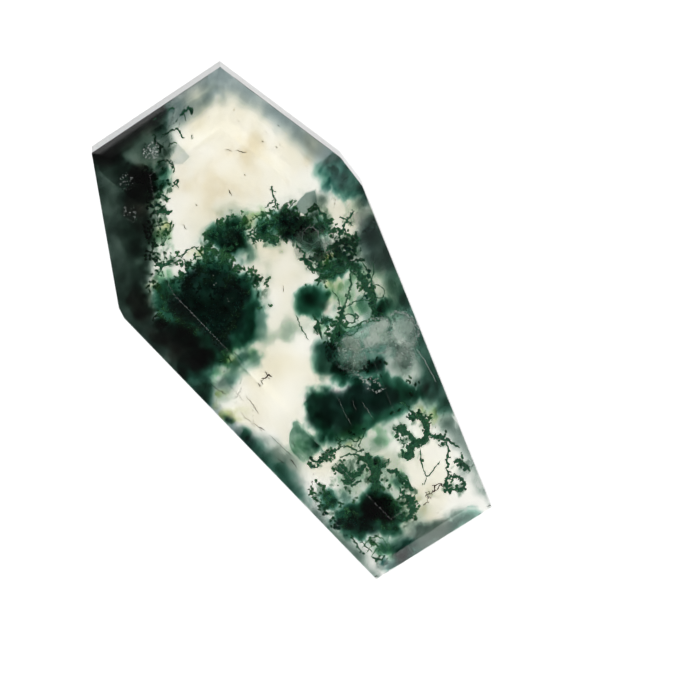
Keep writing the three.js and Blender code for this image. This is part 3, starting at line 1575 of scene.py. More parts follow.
# Bands under the head's crown facets, darkened by painted shade where the facets bend sight towards
# dark surroundings.
LEFT_HEAD_BAND = (
    (146, 106), (212, 52), (226, 52), (244, 84), (240, 94), (229, 90), (222, 95), (213, 90), (204, 94),
    (190, 104), (176, 115), (166, 114),
)
RIGHT_HEAD_BAND = (
    (222, 56), (362, 154), (336, 168), (322, 160), (300, 143), (277, 126), (244, 100), (238, 92),
    (222, 84),
)
COLUMN_FACET = (
    (96, 150), (110, 153), (140, 168), (151, 172), (152, 197), (142, 204), (122, 190), (100, 172),
)
WEDGE_FACET = ((82, 142), (150, 96), (162, 103), (150, 121), (110, 152), (96, 156))
LOWER_RIM_TEAL = (
    (246, 436), (259, 443), (273, 455), (289, 473), (303, 492), (307, 502), (300, 516), (280, 502),
    (238, 460),
)
GREEN_CORNER = (
    (293, 421), (298, 425), (320, 448), (312, 457), (304, 463), (297, 456), (291, 446), (291, 434),
)
TRIANGLE_FACET = (
    (110, 153), (150, 120), (165, 128), (170, 146), (168, 166), (156, 180), (150, 172), (140, 167),
)
CLOUD_SIDE = (
    (317, 346), (326, 343), (336, 346), (335, 358), (338, 371), (329, 375), (316, 371), (315, 358),
)
GREY_GREEN = Stain(
    SoftStain("grey_green_stain", (0.3, 0.5, 0.4), 1.0),
    height=1.0, thickness=0.8, softness=26, raggedness=9, patch=26, mottle=0.35,
    marks=marks_of((CENTRE_CLUMP, UPPER_CLUMP, RIGHT_NET), 2.0)
    + filled_all(HEAD_TRIANGLE, BEHIND_CLOUD)
    + (
        (210, 388, 226, 402, 9), (352, 290, 24), (350, 440, 14), (375, 438, 18), (285, 337, 12),
        (345, 545, 16), (372, 548, 14), (250, 262, 12), (225, 370, 14), (310, 240, 14),
        (372, 215, 400, 300, 20), (400, 300, 440, 400, 20), (385, 290, 420, 370, 30),
        (350, 480, 385, 480, 20), (340, 505, 380, 515, 24), (400, 500, 14), (138, 240, 138, 300, 12),
    ),
)
# Partly painted shade along the rims, over the foot's low crown and in the corner wedge, where the
# facets bend sight towards dark surroundings; partly the stone's own dark grey, as behind the cloud.
SHADE = Stain(
    SoftStain("shade_stain", (0.2, 0.36, 0.32), 4.2),
    softness=14, raggedness=3, patch=22,
    marks=filled_all(
        WEDGE, HEAD_TRIANGLE, RIGHT_DARK_ZONE, RIGHT_RIM, FOOT_GREY, FOOT_EDGE, CLOUD_SIDE, COLUMN_TAIL,
        LOWER_RIM,
    )
    + (
        (302, 501, 376, 578, 7), (460, 430, 490, 500, 7), (466, 468, 6), (350, 368, 7), (365, 366, 6),
        (362, 210, 8), (396, 352, 9), (402, 362, 10), (392, 364, 7), (308, 240, 9), (318, 250, 10),
        (425, 384, 10), (432, 396, 8), (200, 386, 225, 384, 5), (308, 298, 7), (380, 566, 420, 548, 7),
        (412, 400, 8), (446, 420, 456, 440, 6), (320, 200, 4), (338, 248, 350, 245, 9),
        (350, 258, 366, 256, 7),
    ),
)
# Mostly painted shade: grey-teal bands under the crown facets at the head and along the lower rim,
# where the facets bend sight towards dark surroundings; partly dark stone in the zone on the right.
EDGE_GREY = Stain(
    SoftStain("edge_grey_stain", (0.22, 0.375, 0.405), 5.2),
    softness=14, raggedness=2.0, patch=25,
    marks=filled_all(RIGHT_DARK_ZONE, LEFT_HEAD_BAND, RIGHT_HEAD_BAND)
    + (
        (222, 94, 223, 98, 3), (364, 190, 376, 216, 8), (170, 110, 202, 89, 12), (344, 178, 8),
        (196, 396, 250, 450, 9),
    ),
)
# Partly the dark green of the stone's left band, partly painted shade along that rim and in the corner
# wedge, where the facets turn sight away from the light.
RIM = Stain(
    SoftStain("rim_stain", (0.2, 0.34, 0.3), 11.6),
    softness=12, raggedness=2.5, patch=22, mottle=0.12,
    marks=filled_all(LEFT_COLUMN, WEDGE)
    + ((376, 508, 12), (386, 515, 8)),
)
# Partly painted shade in green along the rims and over the foot's low crown, where the facets bend
# sight towards dark surroundings; partly the stone's own green, as at the shoulder and beside the
# cloud.
RIM_GREEN = Stain(
    SoftStain("rim_green_stain", (0.1, 0.5, 0.42), 5.2),
    softness=10, raggedness=2.5, patch=16,
    marks=filled(LOWER_RIM_TEAL, 4.0)
    + filled_all(RIGHT_RIM, FOOT_TEAL, CLOUD_SIDE, SHOULDER_HALO, COLUMN_TAIL, FOOT_EDGE, FOOT_CORNER)
    + (
        (158, 114, 8), (161, 128, 6), (164, 176, 5), (380, 306, 396, 306, 7), (440, 392, 450, 404, 7),
    ),
)
SLATE = Stain(
    SoftStain("slate_stain", (0.05, 0.47, 0.455), 5.6),
    softness=9, raggedness=6, patch=9,
    marks=filled(RIGHT_SHOULDER) + ((166, 104, 6), (396, 562, 412, 553, 7)),
)
# Brown stain in the stone; over the corner wedge it is painted shade.
UMBER = Stain(
    SoftStain("umber_stain", (0.45, 0.25, 0.2), 3.4),
    softness=12, raggedness=3, patch=20, mottle=0.15,
    marks=filled_all(LEFT_UMBER, LOWER_UMBER, WEDGE)
    + ((324, 305, 6), (136, 300, 142, 312, 8)),
)
TEAL = Stain(
    SoftStain("teal_stain", (0.08, 0.42, 0.36), 3.2),
    height=1.4, thickness=0.7, softness=16, raggedness=5, patch=16,
    marks=filled_all(BEHIND_CLOUD, CENTRE_BLUR, UPPER_BLUR)
    + (
        (238, 360, 254, 356, 5), (228, 378, 236, 366, 4), (326, 350, 8), (324, 368, 8), (325, 436, 10),
        (385, 300, 12), (396, 308, 10), (404, 300, 8), (361, 308, 8), (160, 182, 7), (402, 553, 7),
        (430, 390, 8), (358, 478, 6), (395, 480, 7), (350, 500, 10), (205, 384, 5), (196, 372, 8),
        (409, 451, 3), (156, 118, 8),
    ),
)
MOSS_GREEN = Stain(
    SoftStain("moss_green_stain", (0.06, 0.46, 0.36), 6.8),
    height=1.5, thickness=0.7, softness=10, raggedness=3, patch=13, mottle=0.12,
    marks=filled_all(CENTRE_MASS, UPPER_MASS, UPPER_CORE, NET_BALL, LOWER_BLOCK, FOOT_MASS)
    + (
        (376, 462, 376, 486, 6), (328, 504, 6), (345, 255, 5), (335, 334, 6), (428, 389, 5),
        (207, 246, 214, 258, 5), (222, 256, 7), (234, 250, 7), (340, 376, 6), (342, 384, 6),
        (337, 369, 5), (164, 172, 3), (163, 186, 4), (320, 251, 5), (308, 246, 4), (338, 262, 6),
        (332, 272, 7), (262, 232, 270, 238, 5), (262, 224, 3), (326, 322, 4), (356, 268, 5),
        (382, 306, 5), (405, 512, 5), (326, 498, 5), (230, 421, 4), (244, 435, 5), (378, 364, 5),
    ),
)
BLACK_GREEN = Stain(
    SoftStain("black_green_stain", (0.26, 0.22, 0.29), 3.4),
    height=2.35, thickness=0.6, softness=10, raggedness=3, patch=14, mottle=0.15,
    marks=filled_all(CENTRE_CORE, LOWER_CORE, FOOT_CORE, UPPER_CORE)
    + (
        (230, 234, 8), (220, 238, 6), (376, 464, 376, 484, 3), (378, 364, 5), (229, 419, 234, 424, 2.5),
        (245, 433, 250, 439, 2.5), (334, 336, 4),
    ),
)
GREEN_LACE = Stain(
    SoftStain("green_lace", (0.35, 0.5, 0.42), 3.4),
    height=1.95, softness=5, raggedness=4.0, patch=5, mottle=0.6, step=1.4,
    marks=marks_of((LEFT_BAND, UPPER_CLUMP, RIGHT_NET, RIGHT_BRANCHES, FOOT_CLUMP), 0.5)
    + (
        (157, 198, 158, 228, 6), (157, 232, 159, 258, 8), (155, 268, 156, 282, 5), (168, 150, 5),
        (158, 310, 5), (162, 326, 6), (262, 230, 252, 240, 5), (345, 243, 8), (350, 440, 5),
        (165, 290, 5), (172, 282, 4), (186, 266, 5), (258, 280, 5), (262, 292, 4),
    ),
)
LEAF = Stain(
    SoftStain("leaf_stain", (0.36, 0.68, 0.48), 2.0),
    height=1.6, thickness=0.4, softness=10, raggedness=5, patch=9, mottle=0.7, step=2,
    marks=(
        (360, 308, 10), (350, 290, 12), (338, 280, 8), (366, 282, 9), (380, 275, 10), (345, 300, 8),
        (248, 216, 258, 214, 5), (225, 360, 6), (250, 358, 5), (355, 435, 9), (385, 435, 10),
        (382, 546, 11), (433, 412, 4), (302, 446, 8), (160, 200, 158, 275, 5), (395, 480, 8),
        (352, 480, 8), (408, 450, 5), (352, 245, 8), (325, 325, 5), (345, 322, 9), (215, 372, 9),
        (398, 515, 10), (340, 485, 6), (200, 255, 8), (165, 290, 5),
    ),
)
FACET_SHADE = Stain(
    SoftStain("facet_shade_stain", (0.2, 0.34, 0.3), 4.0),
    thickness=0.4, softness=3, raggedness=0.6, patch=20, mottle=0.1, step=1.5,
    marks=filled(COLUMN_FACET, 3.0) + filled(WEDGE_FACET, 3.0) + filled(TRIANGLE_FACET, 3.0),
)
FACET_GREEN = Stain(
    SoftStain("facet_green_stain", (0.15, 0.46, 0.36), 4.4),
    thickness=0.4, softness=3, raggedness=0.8, patch=14, mottle=0.15, step=1.5,
    marks=filled(GREEN_CORNER, 2.5),
)
STAINS = (
    CLEAR_WARM, TAN, OLIVE, GREY_GREEN, TEAL, SLATE, EDGE_GREY, RIM, SHADE, UMBER, MOSS_GREEN,
    BLACK_GREEN, RIM_GREEN, FACET_GREEN, LEAF, GREEN_LACE, FACET_SHADE,
)


SPRIGS = (
    Strand(((163, 102), (168, 102)), 4.0),
    Strand(((168, 102), (172, 106), (173, 109)), 2.2, 0.7),
    Strand(((150, 114), (153, 115)), 3.0, 1.0, 0.1),
    Strand(((181, 114), (185, 111), (190, 110), (192, 114)), 3.4),
    Strand(((184, 114), (186, 121)), 1.6, 0.4, 0.1),
    Strand(((176, 121), (178, 119)), 2.2, 0.8, 0.1),
    Strand(((162, 138), (167, 133), (172, 131), (177, 129), (180, 133), (183, 138)), 2.2, 0.7),
    Strand(((192, 135), (193, 138)), 1.8, 0.8, 0.0),
    Strand(((155, 135), (156, 141), (160, 146), (158, 152)), 2.6, 1.0, 0.3),
    Strand(((168, 147), (173, 142), (176, 143)), 1.6, 0.5, 0.1, 2.6, 0.9),
    Strand(((160, 162), (168, 161), (172, 166), (174, 173)), 2.2, 0.9, 0.3),
    Strand(((172, 184), (178, 181), (178, 186)), 2.4, 0.9, 0.3),
    Strand(((156, 196), (162, 194), (168, 198), (171, 198)), 2.4, 0.9),
    Strand(((155, 211), (164, 212), (172, 211)), 3.8),
    Strand(((165, 205), (167, 210), (166, 216)), 1.6, 0.6),
    Strand(((160, 224), (168, 223), (172, 222), (171, 229)), 1.8, 0.7),
    Strand(((160, 234), (165, 232), (168, 227)), 1.4, 0.5),
    Strand(((155, 263), (161, 266), (166, 265), (171, 262)), 4.0),
    Strand(((157, 274), (161, 271), (163, 277)), 1.8, 0.8, 0.3),
    Strand(((160, 246), (165, 241), (164, 236)), 1.4, 0.6),
    Strand(((182, 258), (184, 252), (190, 249), (196, 247), (200, 254)), 1.8, 0.7, 0.3),
    Strand(((183, 259), (187, 264), (190, 270)), 1.6, 0.6),
    Strand(((192, 261), (196, 256), (201, 256)), 1.6, 0.6),
    Strand(((272, 186), (273, 194), (276, 201), (275, 210)), 2.0, 0.8, 0.6),
    Strand(((266, 208), (270, 203), (275, 199)), 1.8, 0.8, 0.3),
    Strand(((283, 212), (286, 205), (290, 200)), 1.8, 0.8, 0.3),
    Strand(((290, 208), (294, 203), (297, 200)), 1.8, 0.8, 0.3),
    Strand(((248, 238), (254, 229), (262, 226), (268, 222), (276, 224)), 2.2, 1.0, 0.5),
    Strand(((254, 240), (262, 238), (268, 242), (275, 243)), 2.2, 1.0, 0.5),
    Strand(((250, 222), (257, 216), (265, 213), (272, 212)), 1.8, 0.8, 0.4, 2.6, 0.8),
    Strand(((216, 219), (218, 225), (222, 228)), 2.4, 0.8, 0.4),
    Strand(((205, 258), (206, 248), (210, 240)), 2.4, 0.9, 0.4),
    Strand(((296, 243), (301, 250), (305, 258), (308, 265), (312, 272)), 2.2, 0.9, 0.4),
    Strand(((326, 231), (329, 229), (331, 233)), 2.4, 0.8),
    Strand(((318, 208), (322, 213), (325, 220), (328, 228)), 3.2, 1.0, 0.3),
    Strand(((304, 285), (306, 285)), 2.6, 0.9, 0.1),
    Strand(((296, 315), (300, 325), (304, 332), (308, 340)), 1.4, 0.6),
    Strand(((313, 315), (318, 322), (319, 330), (322, 338)), 2.4, 0.8, 0.3),
    Strand(((330, 345), (334, 335), (338, 326), (341, 316), (344, 306)), 5.0),
    Strand(((318, 336), (318, 326), (324, 321), (331, 320), (336, 324)), 3.0, 1.0, 0.3),
    Strand(((353, 210), (350, 217), (346, 223), (342, 230), (338, 238)), 2.4, 0.8),
    Strand(((340, 216), (347, 221), (353, 225)), 1.8, 0.7, 0.1),
    Strand(((326, 251), (333, 246), (340, 242), (347, 241), (353, 246)), 3.6),
    Strand(((300, 258), (307, 262), (313, 268), (321, 270), (329, 267), (336, 261)), 4.2),
    Strand(((317, 284), (322, 278), (330, 275), (338, 271), (346, 267)), 4.6),
    Strand(
        ((346, 267), (353, 264), (359, 272), (364, 281), (369, 291), (372, 302), (375, 314)),
        4.6,
    ),
    Strand(((335, 252), (342, 258), (350, 262), (352, 270)), 4.4),
    Strand(((352, 262), (360, 260), (366, 258)), 2.6, 0.9, 0.3),
    Strand(((356, 232), (358, 242), (354, 252), (350, 260)), 2.6, 0.9),
    Strand(((362, 262), (369, 273), (373, 286), (377, 300)), 1.4, 0.2, 0.1),
    Strand(((372, 262), (374, 271), (371, 280), (366, 287)), 1.3, 0.2, 0.1),
    Strand(((370, 286), (378, 285), (384, 290), (383, 297), (376, 298), (372, 292)), 1.4, 0.2, 0.0),
    Strand(((350, 268), (351, 280), (349, 292), (346, 302), (344, 308)), 2.4, 0.5, 0.1),
    Strand(((332, 290), (337, 297), (340, 306)), 1.3, 0.3, 0.1),
    Strand(((352, 272), (360, 280), (365, 290), (362, 300)), 1.3, 0.2, 0.1),
    Strand(((346, 306), (354, 302), (364, 300), (371, 302)), 1.3, 0.3, 0.1),
    Strand(((343, 316), (350, 314), (357, 320), (350, 323), (344, 319)), 1.8, 0.4, 0.1),
    Strand(((341, 324), (348, 328), (356, 326), (362, 322), (372, 321), (384, 320)), 1.7, 0.3, 0.1),
    Strand(((341, 330), (350, 336), (356, 332), (360, 325)), 1.5, 0.4, 0.1),
    Strand(((415, 421), (412, 413), (408, 408), (402, 402)), 2.6, 0.8, 0.3),
    Strand(((408, 418), (412, 415), (418, 417), (422, 412)), 5.0),
    Strand(((397, 426), (404, 429), (410, 435), (414, 442), (408, 449)), 5.0),
    Strand(((420, 412), (424, 420), (427, 429), (426, 438), (420, 443), (413, 446)), 5.6),
    Strand(((402, 450), (404, 456), (409, 458), (413, 453), (413, 446)), 4.6),
    Strand(((400, 437), (403, 442), (405, 447)), 2.2, 0.7, 0.1),
    Strand(((430, 434), (437, 437), (445, 439), (453, 443), (462, 448)), 3.4, 0.9),
    Strand(((446, 441), (448, 450), (447, 462), (448, 471), (446, 479)), 2.6, 0.8),
    Strand(
        ((446, 479), (453, 476), (460, 479), (464, 487), (456, 490), (448, 488), (446, 479)),
        3.4,
    ),
    Strand(((455, 463), (461, 462), (467, 466), (473, 470)), 5.0),
    Strand(((420, 448), (421, 458), (423, 468), (427, 476), (433, 470), (440, 461)), 1.6, 0.2, 0.05),
    Strand(((427, 476), (424, 485)), 1.4, 0.2, 0.0),
    Strand(((311, 456), (316, 461), (323, 459), (330, 454), (337, 450)), 3.8),
    Strand(((312, 465), (317, 466), (321, 462)), 2.8),
    Strand(((337, 450), (343, 446), (350, 447), (357, 451), (364, 450)), 1.8, 0.6),
    Strand(((335, 438), (342, 441), (349, 438), (357, 441), (360, 436)), 1.6, 0.6, 0.4),
    Strand(((340, 458), (349, 454), (357, 455), (363, 460)), 1.8, 0.7, 0.4),
    Strand(((366, 428), (364, 436), (359, 445), (362, 452)), 1.4, 0.4, 0.1),
    Strand(((366, 454), (370, 462), (374, 471), (376, 482), (374, 492)), 7.0, 1.0, 0.3),
    Strand(((338, 468), (346, 470), (352, 477), (358, 473), (364, 466)), 5.0, 1.0, 0.3),
    Strand(((340, 480), (348, 483), (356, 484)), 3.6, 1.0, 0.3),
    Strand(((374, 470), (381, 467), (386, 463), (389, 458)), 2.4, 0.9, 0.5),
    Strand(((388, 468), (396, 473), (404, 481), (411, 489)), 4.0, 1.0, 0.4),
    Strand(((401, 497), (409, 498), (413, 506), (410, 516), (402, 520), (396, 514)), 4.4, 1.0, 0.4),
    Strand(((350, 534), (352, 542), (356, 550), (360, 556)), 2.4, 0.7, 0.3),
    Strand(((358, 538), (364, 545), (371, 552)), 1.8, 0.6),
    Strand(((372, 558), (378, 560), (384, 558)), 3.0, 0.8),
    Strand(((362, 548), (368, 541), (376, 537), (384, 540), (387, 548)), 1.3, 0.3, 0.1, 2.4, 0.9),
    Strand(((366, 553), (372, 546), (380, 543), (384, 549)), 1.2, 0.3, 0.1, 2.4, 0.9),
    Strand(((372, 556), (377, 549), (383, 552)), 1.2, 0.3, 0.1, 2.4, 0.9),
    Strand(((222, 352), (226, 357), (232, 360)), 2.4, 0.9, 0.4),
    Strand(((226, 357), (222, 361), (218, 362)), 1.4, 0.6),
    Strand(((233, 352), (238, 356), (242, 361)), 1.0, 0.3, 0.1),
)
HAIRS = (
    Strand(((262, 385), (263, 380), (267, 376), (272, 377)), 1.6, 0.9, 0.3, 2.4),
    Strand(((266, 372), (270, 378)), 1.2, 0.9, 0.3, 2.4),
    Strand(((210, 383), (220, 391), (226, 395)), 0.7, 0.5, 0.0, 2.5),
    Strand(((230, 386), (238, 394), (244, 402)), 0.6, 0.4, 0.0, 2.5),
    Strand(((247, 397), (253, 405), (259, 414)), 0.8, 0.5, 0.0, 2.5),
    Strand(((240, 412), (248, 420), (258, 427), (263, 431)), 0.7, 0.6, 0.0, 2.5),
    Strand(((259, 427), (263, 430)), 1.8, 0.8, 0.0, 2.5),
    Strand(((270, 436), (280, 445), (292, 456)), 0.6, 0.5, 0.0, 2.4),
    Strand(((278, 458), (283, 463)), 0.9, 0.8, 0.2, 2.3),
    Strand(((290, 460), (297, 468)), 0.7, 0.6, 0.1, 2.3),
    Strand(((425, 504), (431, 494), (440, 486)), 1.2, 0.9, 0.5, 2.5),
    Strand(((432, 490), (438, 484), (443, 486)), 1.6, 0.9, 0.5, 2.5),
    Strand(((437, 444), (440, 448)), 1.4, 0.7, 0.0, 2.5),
    Strand(((225, 151), (232, 151)), 0.8, 0.6, 0.0, 2.6),
    Strand(((236, 151), (248, 152)), 0.9, 0.6, 0.0, 2.6),
    Strand(((234, 109), (235, 110)), 1.0, 0.5, 0.0, 2.6),
    Strand(((238, 121), (239, 121)), 1.0, 0.5, 0.0, 2.6),
    Strand(((278, 125), (280, 126)), 1.2, 0.5, 0.0, 2.6),
    Strand(((283, 285), (284, 289), (283, 292)), 1.2, 0.3, 0.0, 2.2),
    Strand(((312, 481), (312, 485)), 1.2, 0.3, 0.0, 2.2),
    Strand(((183, 225), (185, 227), (187, 230)), 1.4, 0.3, 0.0, 2.2),
    Strand(((196, 204), (197, 206)), 1.4, 0.4, 0.0, 2.2),
    Strand(((228, 190), (230, 192), (232, 196)), 1.4, 0.4, 0.0, 2.2),
    Strand(((262, 141), (263, 142)), 1.5, 0.4, 0.0, 2.2),
    Strand(((276, 147), (277, 148)), 1.5, 0.4, 0.0, 2.2),
    Strand(((244, 174), (245, 175)), 1.4, 0.4, 0.0, 2.2),
)


@dataclass(frozen=True)
class Pane:
    """A flat healed crack: its corners in the photograph and its height."""

    corners: tuple[Pixel, ...]
    height: float = 2.5


@dataclass(frozen=True)
class PaneSet:
    """Healed cracks of one tint, which make one piece."""

    name: str
    finish: SoftStain
    panes: tuple[Pane, ...]


@dataclass
class PaneMaker:
    """Makes healed cracks as thin closed plates."""

    guide: Guide
    thickness: float = 0.4

    def make(self, pane_set: PaneSet) -> bpy.types.Object:
        """Makes one piece of plates.

        Args:
            pane_set: the plates.

        Returns:
            The piece.
        """
        bin_ = MeshBin()
        for pane in pane_set.panes:
            count = len(pane.corners)
            low = self.guide.places(pane.corners, pane.height)
            points = np.concatenate([low, low + [0, 0, self.thickness]])
            if np.cross(low[1] - low[0], low[2] - low[0])[2] < 0:
                points = np.concatenate([low[::-1], low[::-1] + [0, 0, self.thickness]])
            k = np.arange(count)
            after = (k + 1) % count
            walls = [
                np.stack([k, after, after + count], -1),
                np.stack([k, after + count, k + count], -1),
            ]
            fan = np.array([[0, i, i + 1] for i in range(1, count - 1)])
            faces = np.concatenate([*walls, fan + count, fan[:, ::-1]])
            bin_.add(points, faces, np.zeros(2 * count))
        material = pane_set.finish.make()
        return bin_.build(pane_set.name, material, self.guide.facets, smooth=False)


@dataclass(frozen=True)
class Grains:
    """Strewn grains: marks in the photograph, height, how many in a mm2 and their size."""

    marks: Marks
    height: float
    per_mm2: float
    radius: tuple[float, float]
    half_depth: float = 0.15
    tint: float = 1.0


@dataclass
class GrainMaker:
    """Strews small crystal grains."""

    guide: Guide

    def make(
        self, name: str, strewn: Sequence[Grains], material: bpy.types.Material, seed: int
    ) -> bpy.types.Object:
        """Makes one piece of grains.

        Args:
            name: the piece's name.
            strewn: where they are.
            material: their finish.
            seed: its random numbers' seed.

        Returns:
            The piece.
        """
        shaper = Shaper(seed)
        random = shaper.random
        bin_ = MeshBin()
        for grains in strewn:
            region = Region(self.guide, grains.marks, grains.height)
            low, high = region.box(0.0)
            places = random.uniform(low, high, (int(grains.per_mm2 * np.prod(high - low)) + 1, 2))
            places = places[region.inside(places)[0] > 0]
            lift = grains.height + grains.half_depth * random.uniform(-1, 1, len(places))
            lift = np.minimum(lift, self.guide.facets.span(places, 2 * SKIN)[1])
            size = random.uniform(*grains.radius, len(places))
            tints = grains.tint * random.uniform(0.4, 1, len(places))
            shaper.lumps(bin_, np.column_stack([places, lift]), size, tints, steps=1)
        return bin_.build(name, material, self.guide.facets, smooth=False)


# The milky pieces below carry a painted glow: their emission stands in for the light that they scatter.
CLOUD = Stain(
    MilkyFinish("grey_cloud", (0.64, 0.77, 0.67), cover=0.42, glow=0.14, patch=0.22, patchy=1.0),
    height=2.45, thickness=0.3, softness=7, raggedness=2.0, patch=14, mottle=0.35, step=1.6,
    slot=Slot.CLOUD,
    marks=(
        (379, 334, 12), (384, 326, 7), (388, 340, 7), (402, 328, 13), (408, 338, 9), (396, 334, 8),
        (358, 346, 6), (348, 342, 6), (352, 366, 5), (412, 356, 4),
    ),
)
CLOUD_CORE = Stain(
    MilkyFinish("bright_cloud", (0.74, 0.84, 0.77), cover=0.6, glow=0.26, patch=0.3, patchy=0.8),
    height=2.6, thickness=0.2, softness=8, raggedness=2.0, patch=12, mottle=0.3, step=1.6,
    slot=Slot.CLOUD,
    marks=((379, 335, 11), (372, 340, 6), (383, 327, 6), (403, 326, 10), (398, 334, 6)),
)
VEIL = Stain(
    MilkyFinish("grey_veil", (0.42, 0.55, 0.46), cover=0.3, glow=0.06, patch=0.3, patchy=0.4),
    height=2.5, thickness=0.15, softness=8, raggedness=3.0, patch=14, mottle=0.4, step=2.0,
    slot=Slot.CLOUD,
    marks=(
        (310, 238, 11), (318, 248, 10), (305, 250, 8), (365, 215, 10), (445, 531, 12), (425, 538, 11),
        (345, 352, 12), (357, 362, 10), (400, 358, 11), (404, 350, 8),
    ),
)
VEILS = (CLOUD, CLOUD_CORE, VEIL)
BUBBLE_EDGES = (
    ((336, 343), (332, 352), (333, 359), (338, 366), (345, 369), (352, 371), (360, 377), (366, 380)),
    ((342, 340), (350, 338), (357, 341), (362, 348), (364, 356), (366, 366)),
    ((344, 350), (350, 347), (356, 352), (353, 359), (346, 358), (344, 350)),
    ((390, 316), (396, 312), (404, 313), (412, 318), (417, 326), (418, 335), (413, 342)),
    ((409, 344), (412, 352), (413, 360), (409, 367)),
    ((388, 320), (389, 330), (391, 340), (388, 348), (382, 354), (372, 352)),
    ((362, 332), (365, 323), (372, 319), (380, 318)),
    ((396, 344), (404, 341), (410, 346)),
    ((371, 378), (377, 382), (383, 388), (376, 393), (369, 389)),
    ((362, 380), (370, 384), (379, 379)),
    ((128, 172), (122, 176), (120, 183), (125, 189), (131, 188), (134, 181)),
    ((126, 206), (124, 213), (129, 221), (135, 222), (137, 214), (133, 207)),
)
OUTLINES = (
    Strand(
        ((335, 345), (332, 352), (333, 359), (338, 366), (345, 369), (352, 371)),
        0.8, 0.8, 0.1, tint=0.6,
    ),
    Strand(((390, 316), (396, 312), (404, 313), (412, 318), (417, 326)), 0.8, 0.8, 0.1, tint=0.6),
    Strand(((417, 326), (418, 335), (414, 342)), 0.7, 0.7, 0.1, tint=0.6),
    Strand(
        ((303, 232), (310, 227), (317, 231), (318, 240), (311, 244), (303, 240), (303, 232)),
        0.8, 0.3, 0.4, tint=0.4,
    ),
    Strand(((418, 349), (425, 358), (432, 370), (438, 381)), 1.0, 0.3, 0.0, tint=0.7),
    Strand(((338, 398), (342, 407), (346, 416), (352, 425)), 0.5, 0.2, 0.0, 2.9, 0.3),
    Strand(((352, 400), (354, 405), (356, 410)), 0.5, 0.2, 0.0, 2.9, 0.25),
    Strand(((362, 402), (368, 411), (374, 420)), 0.5, 0.2, 0.0, 2.9, 0.3),
)
CRYSTALS = (
    *(Grains(bands(edge, 1.4), 2.7, 420, (0.014, 0.034), 0.04, 0.85) for edge in BUBBLE_EDGES[:-2]),
    *(Grains(bands(edge, 1.2), 2.7, 260, (0.014, 0.03), 0.03, 0.7) for edge in BUBBLE_EDGES[-2:]),
    Grains(((151, 153, 8), (156, 145, 5)), 3.1, 190, (0.02, 0.045), 0.03, 0.95),
    Grains(((128, 180, 6),), 3.1, 120, (0.018, 0.036), 0.03, 0.75),
    Grains(((132, 214, 6),), 3.1, 120, (0.018, 0.036), 0.03, 0.6),
    Grains(((156, 315, 5), (155, 290, 2)), 2.7, 40, (0.02, 0.035)),
    Grains(((337, 350, 2.5),), 2.8, 120, (0.03, 0.06)),
    Grains(((352, 358, 16),), 2.7, 45, (0.012, 0.03)),
    Grains(((402, 330, 14), (402, 354, 11)), 2.7, 30, (0.012, 0.03)),
    Grains(((215, 285, 3), (230, 300, 4), (205, 310, 3), (213, 275, 2)), 2.8, 60, (0.012, 0.03)),
)
PANE_SETS = (
    PaneSet(
        "healed_cracks",
        SoftStain("healed_crack_stain", (0.3, 0.46, 0.44), 4.6),
        (Pane(((297, 202), (306, 192), (316, 189), (318, 205), (316, 221), (295, 209)), 2.55),),
    ),
    PaneSet(
        "pale_cracks",
        SoftStain("pale_crack_stain", (0.4, 0.5, 0.5), 1.6),
        (
            Pane(((320, 190), (328, 180), (335, 184), (334, 196))),
            Pane(((168, 148), (178, 143), (190, 156), (182, 164), (168, 160))),
        ),
    ),
    PaneSet(
        "green_planes",
        SoftStain("green_plane_stain", (0.2, 0.5, 0.4), 1.2),
        (
            Pane(((294, 420), (320, 449), (309, 458), (296, 446))),
            Pane(((286, 444), (305, 463), (301, 468), (282, 450))),
        ),
    ),
)
# The tip colour is partly painted light, lighter for the light that thin tips pass.
MOSS = MossFinish("moss", heart=(0.012, 0.12, 0.08), tip=(0.09, 0.32, 0.13))
BROWN_HAIR = MossFinish("brown_hair", heart=(0.03, 0.015, 0.008), tip=(0.1, 0.05, 0.03))
# The white crystal's glow is painted light, standing in for the light that the grains scatter.
CRYSTAL = MilkyFinish("white_crystal", (0.85, 0.9, 0.87), cover=0.9, glow=0.12, patchy=0.2)


@dataclass
class CutStone:
    """The stone itself: its solid's facets with softened edges, polished."""

    node: bpy.types.Object
    finish: PolishedChalcedony = PolishedChalcedony()
    edge_round: float = 0.02

    def make(self) -> bpy.types.Object:
        """Makes the polished stone in place of its solid.

        Returns:
            The piece.
        """
        shape = bmesh.new()
        shape.from_mesh(self.node.data)
        bmesh.ops.scale(shape, vec=(1 / MM, 1 / MM, 1 / MM), verts=shape.verts)
        bmesh.ops.remove_doubles(shape, verts=shape.verts, dist=1e-3)
        bmesh.ops.dissolve_limit(
            shape, angle_limit=math.radians(0.5), verts=shape.verts, edges=shape.edges
        )
        bmesh.ops.bevel(
            shape,
            geom=shape.edges[:],
            offset=self.edge_round,
            segments=2,
            profile=0.5,
            affect="EDGES",
            clamp_overlap=True,
        )
        bmesh.ops.scale(shape, vec=(MM, MM, MM), verts=shape.verts)
        mesh = bpy.data.meshes.new("polished_stone")
        shape.to_mesh(mesh)
        shape.free()
        mesh.materials.append(self.finish.make())
        stone = dress(bpy.data.objects.new("polished_stone", mesh))
        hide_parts(STONE_NODE)
        return stone


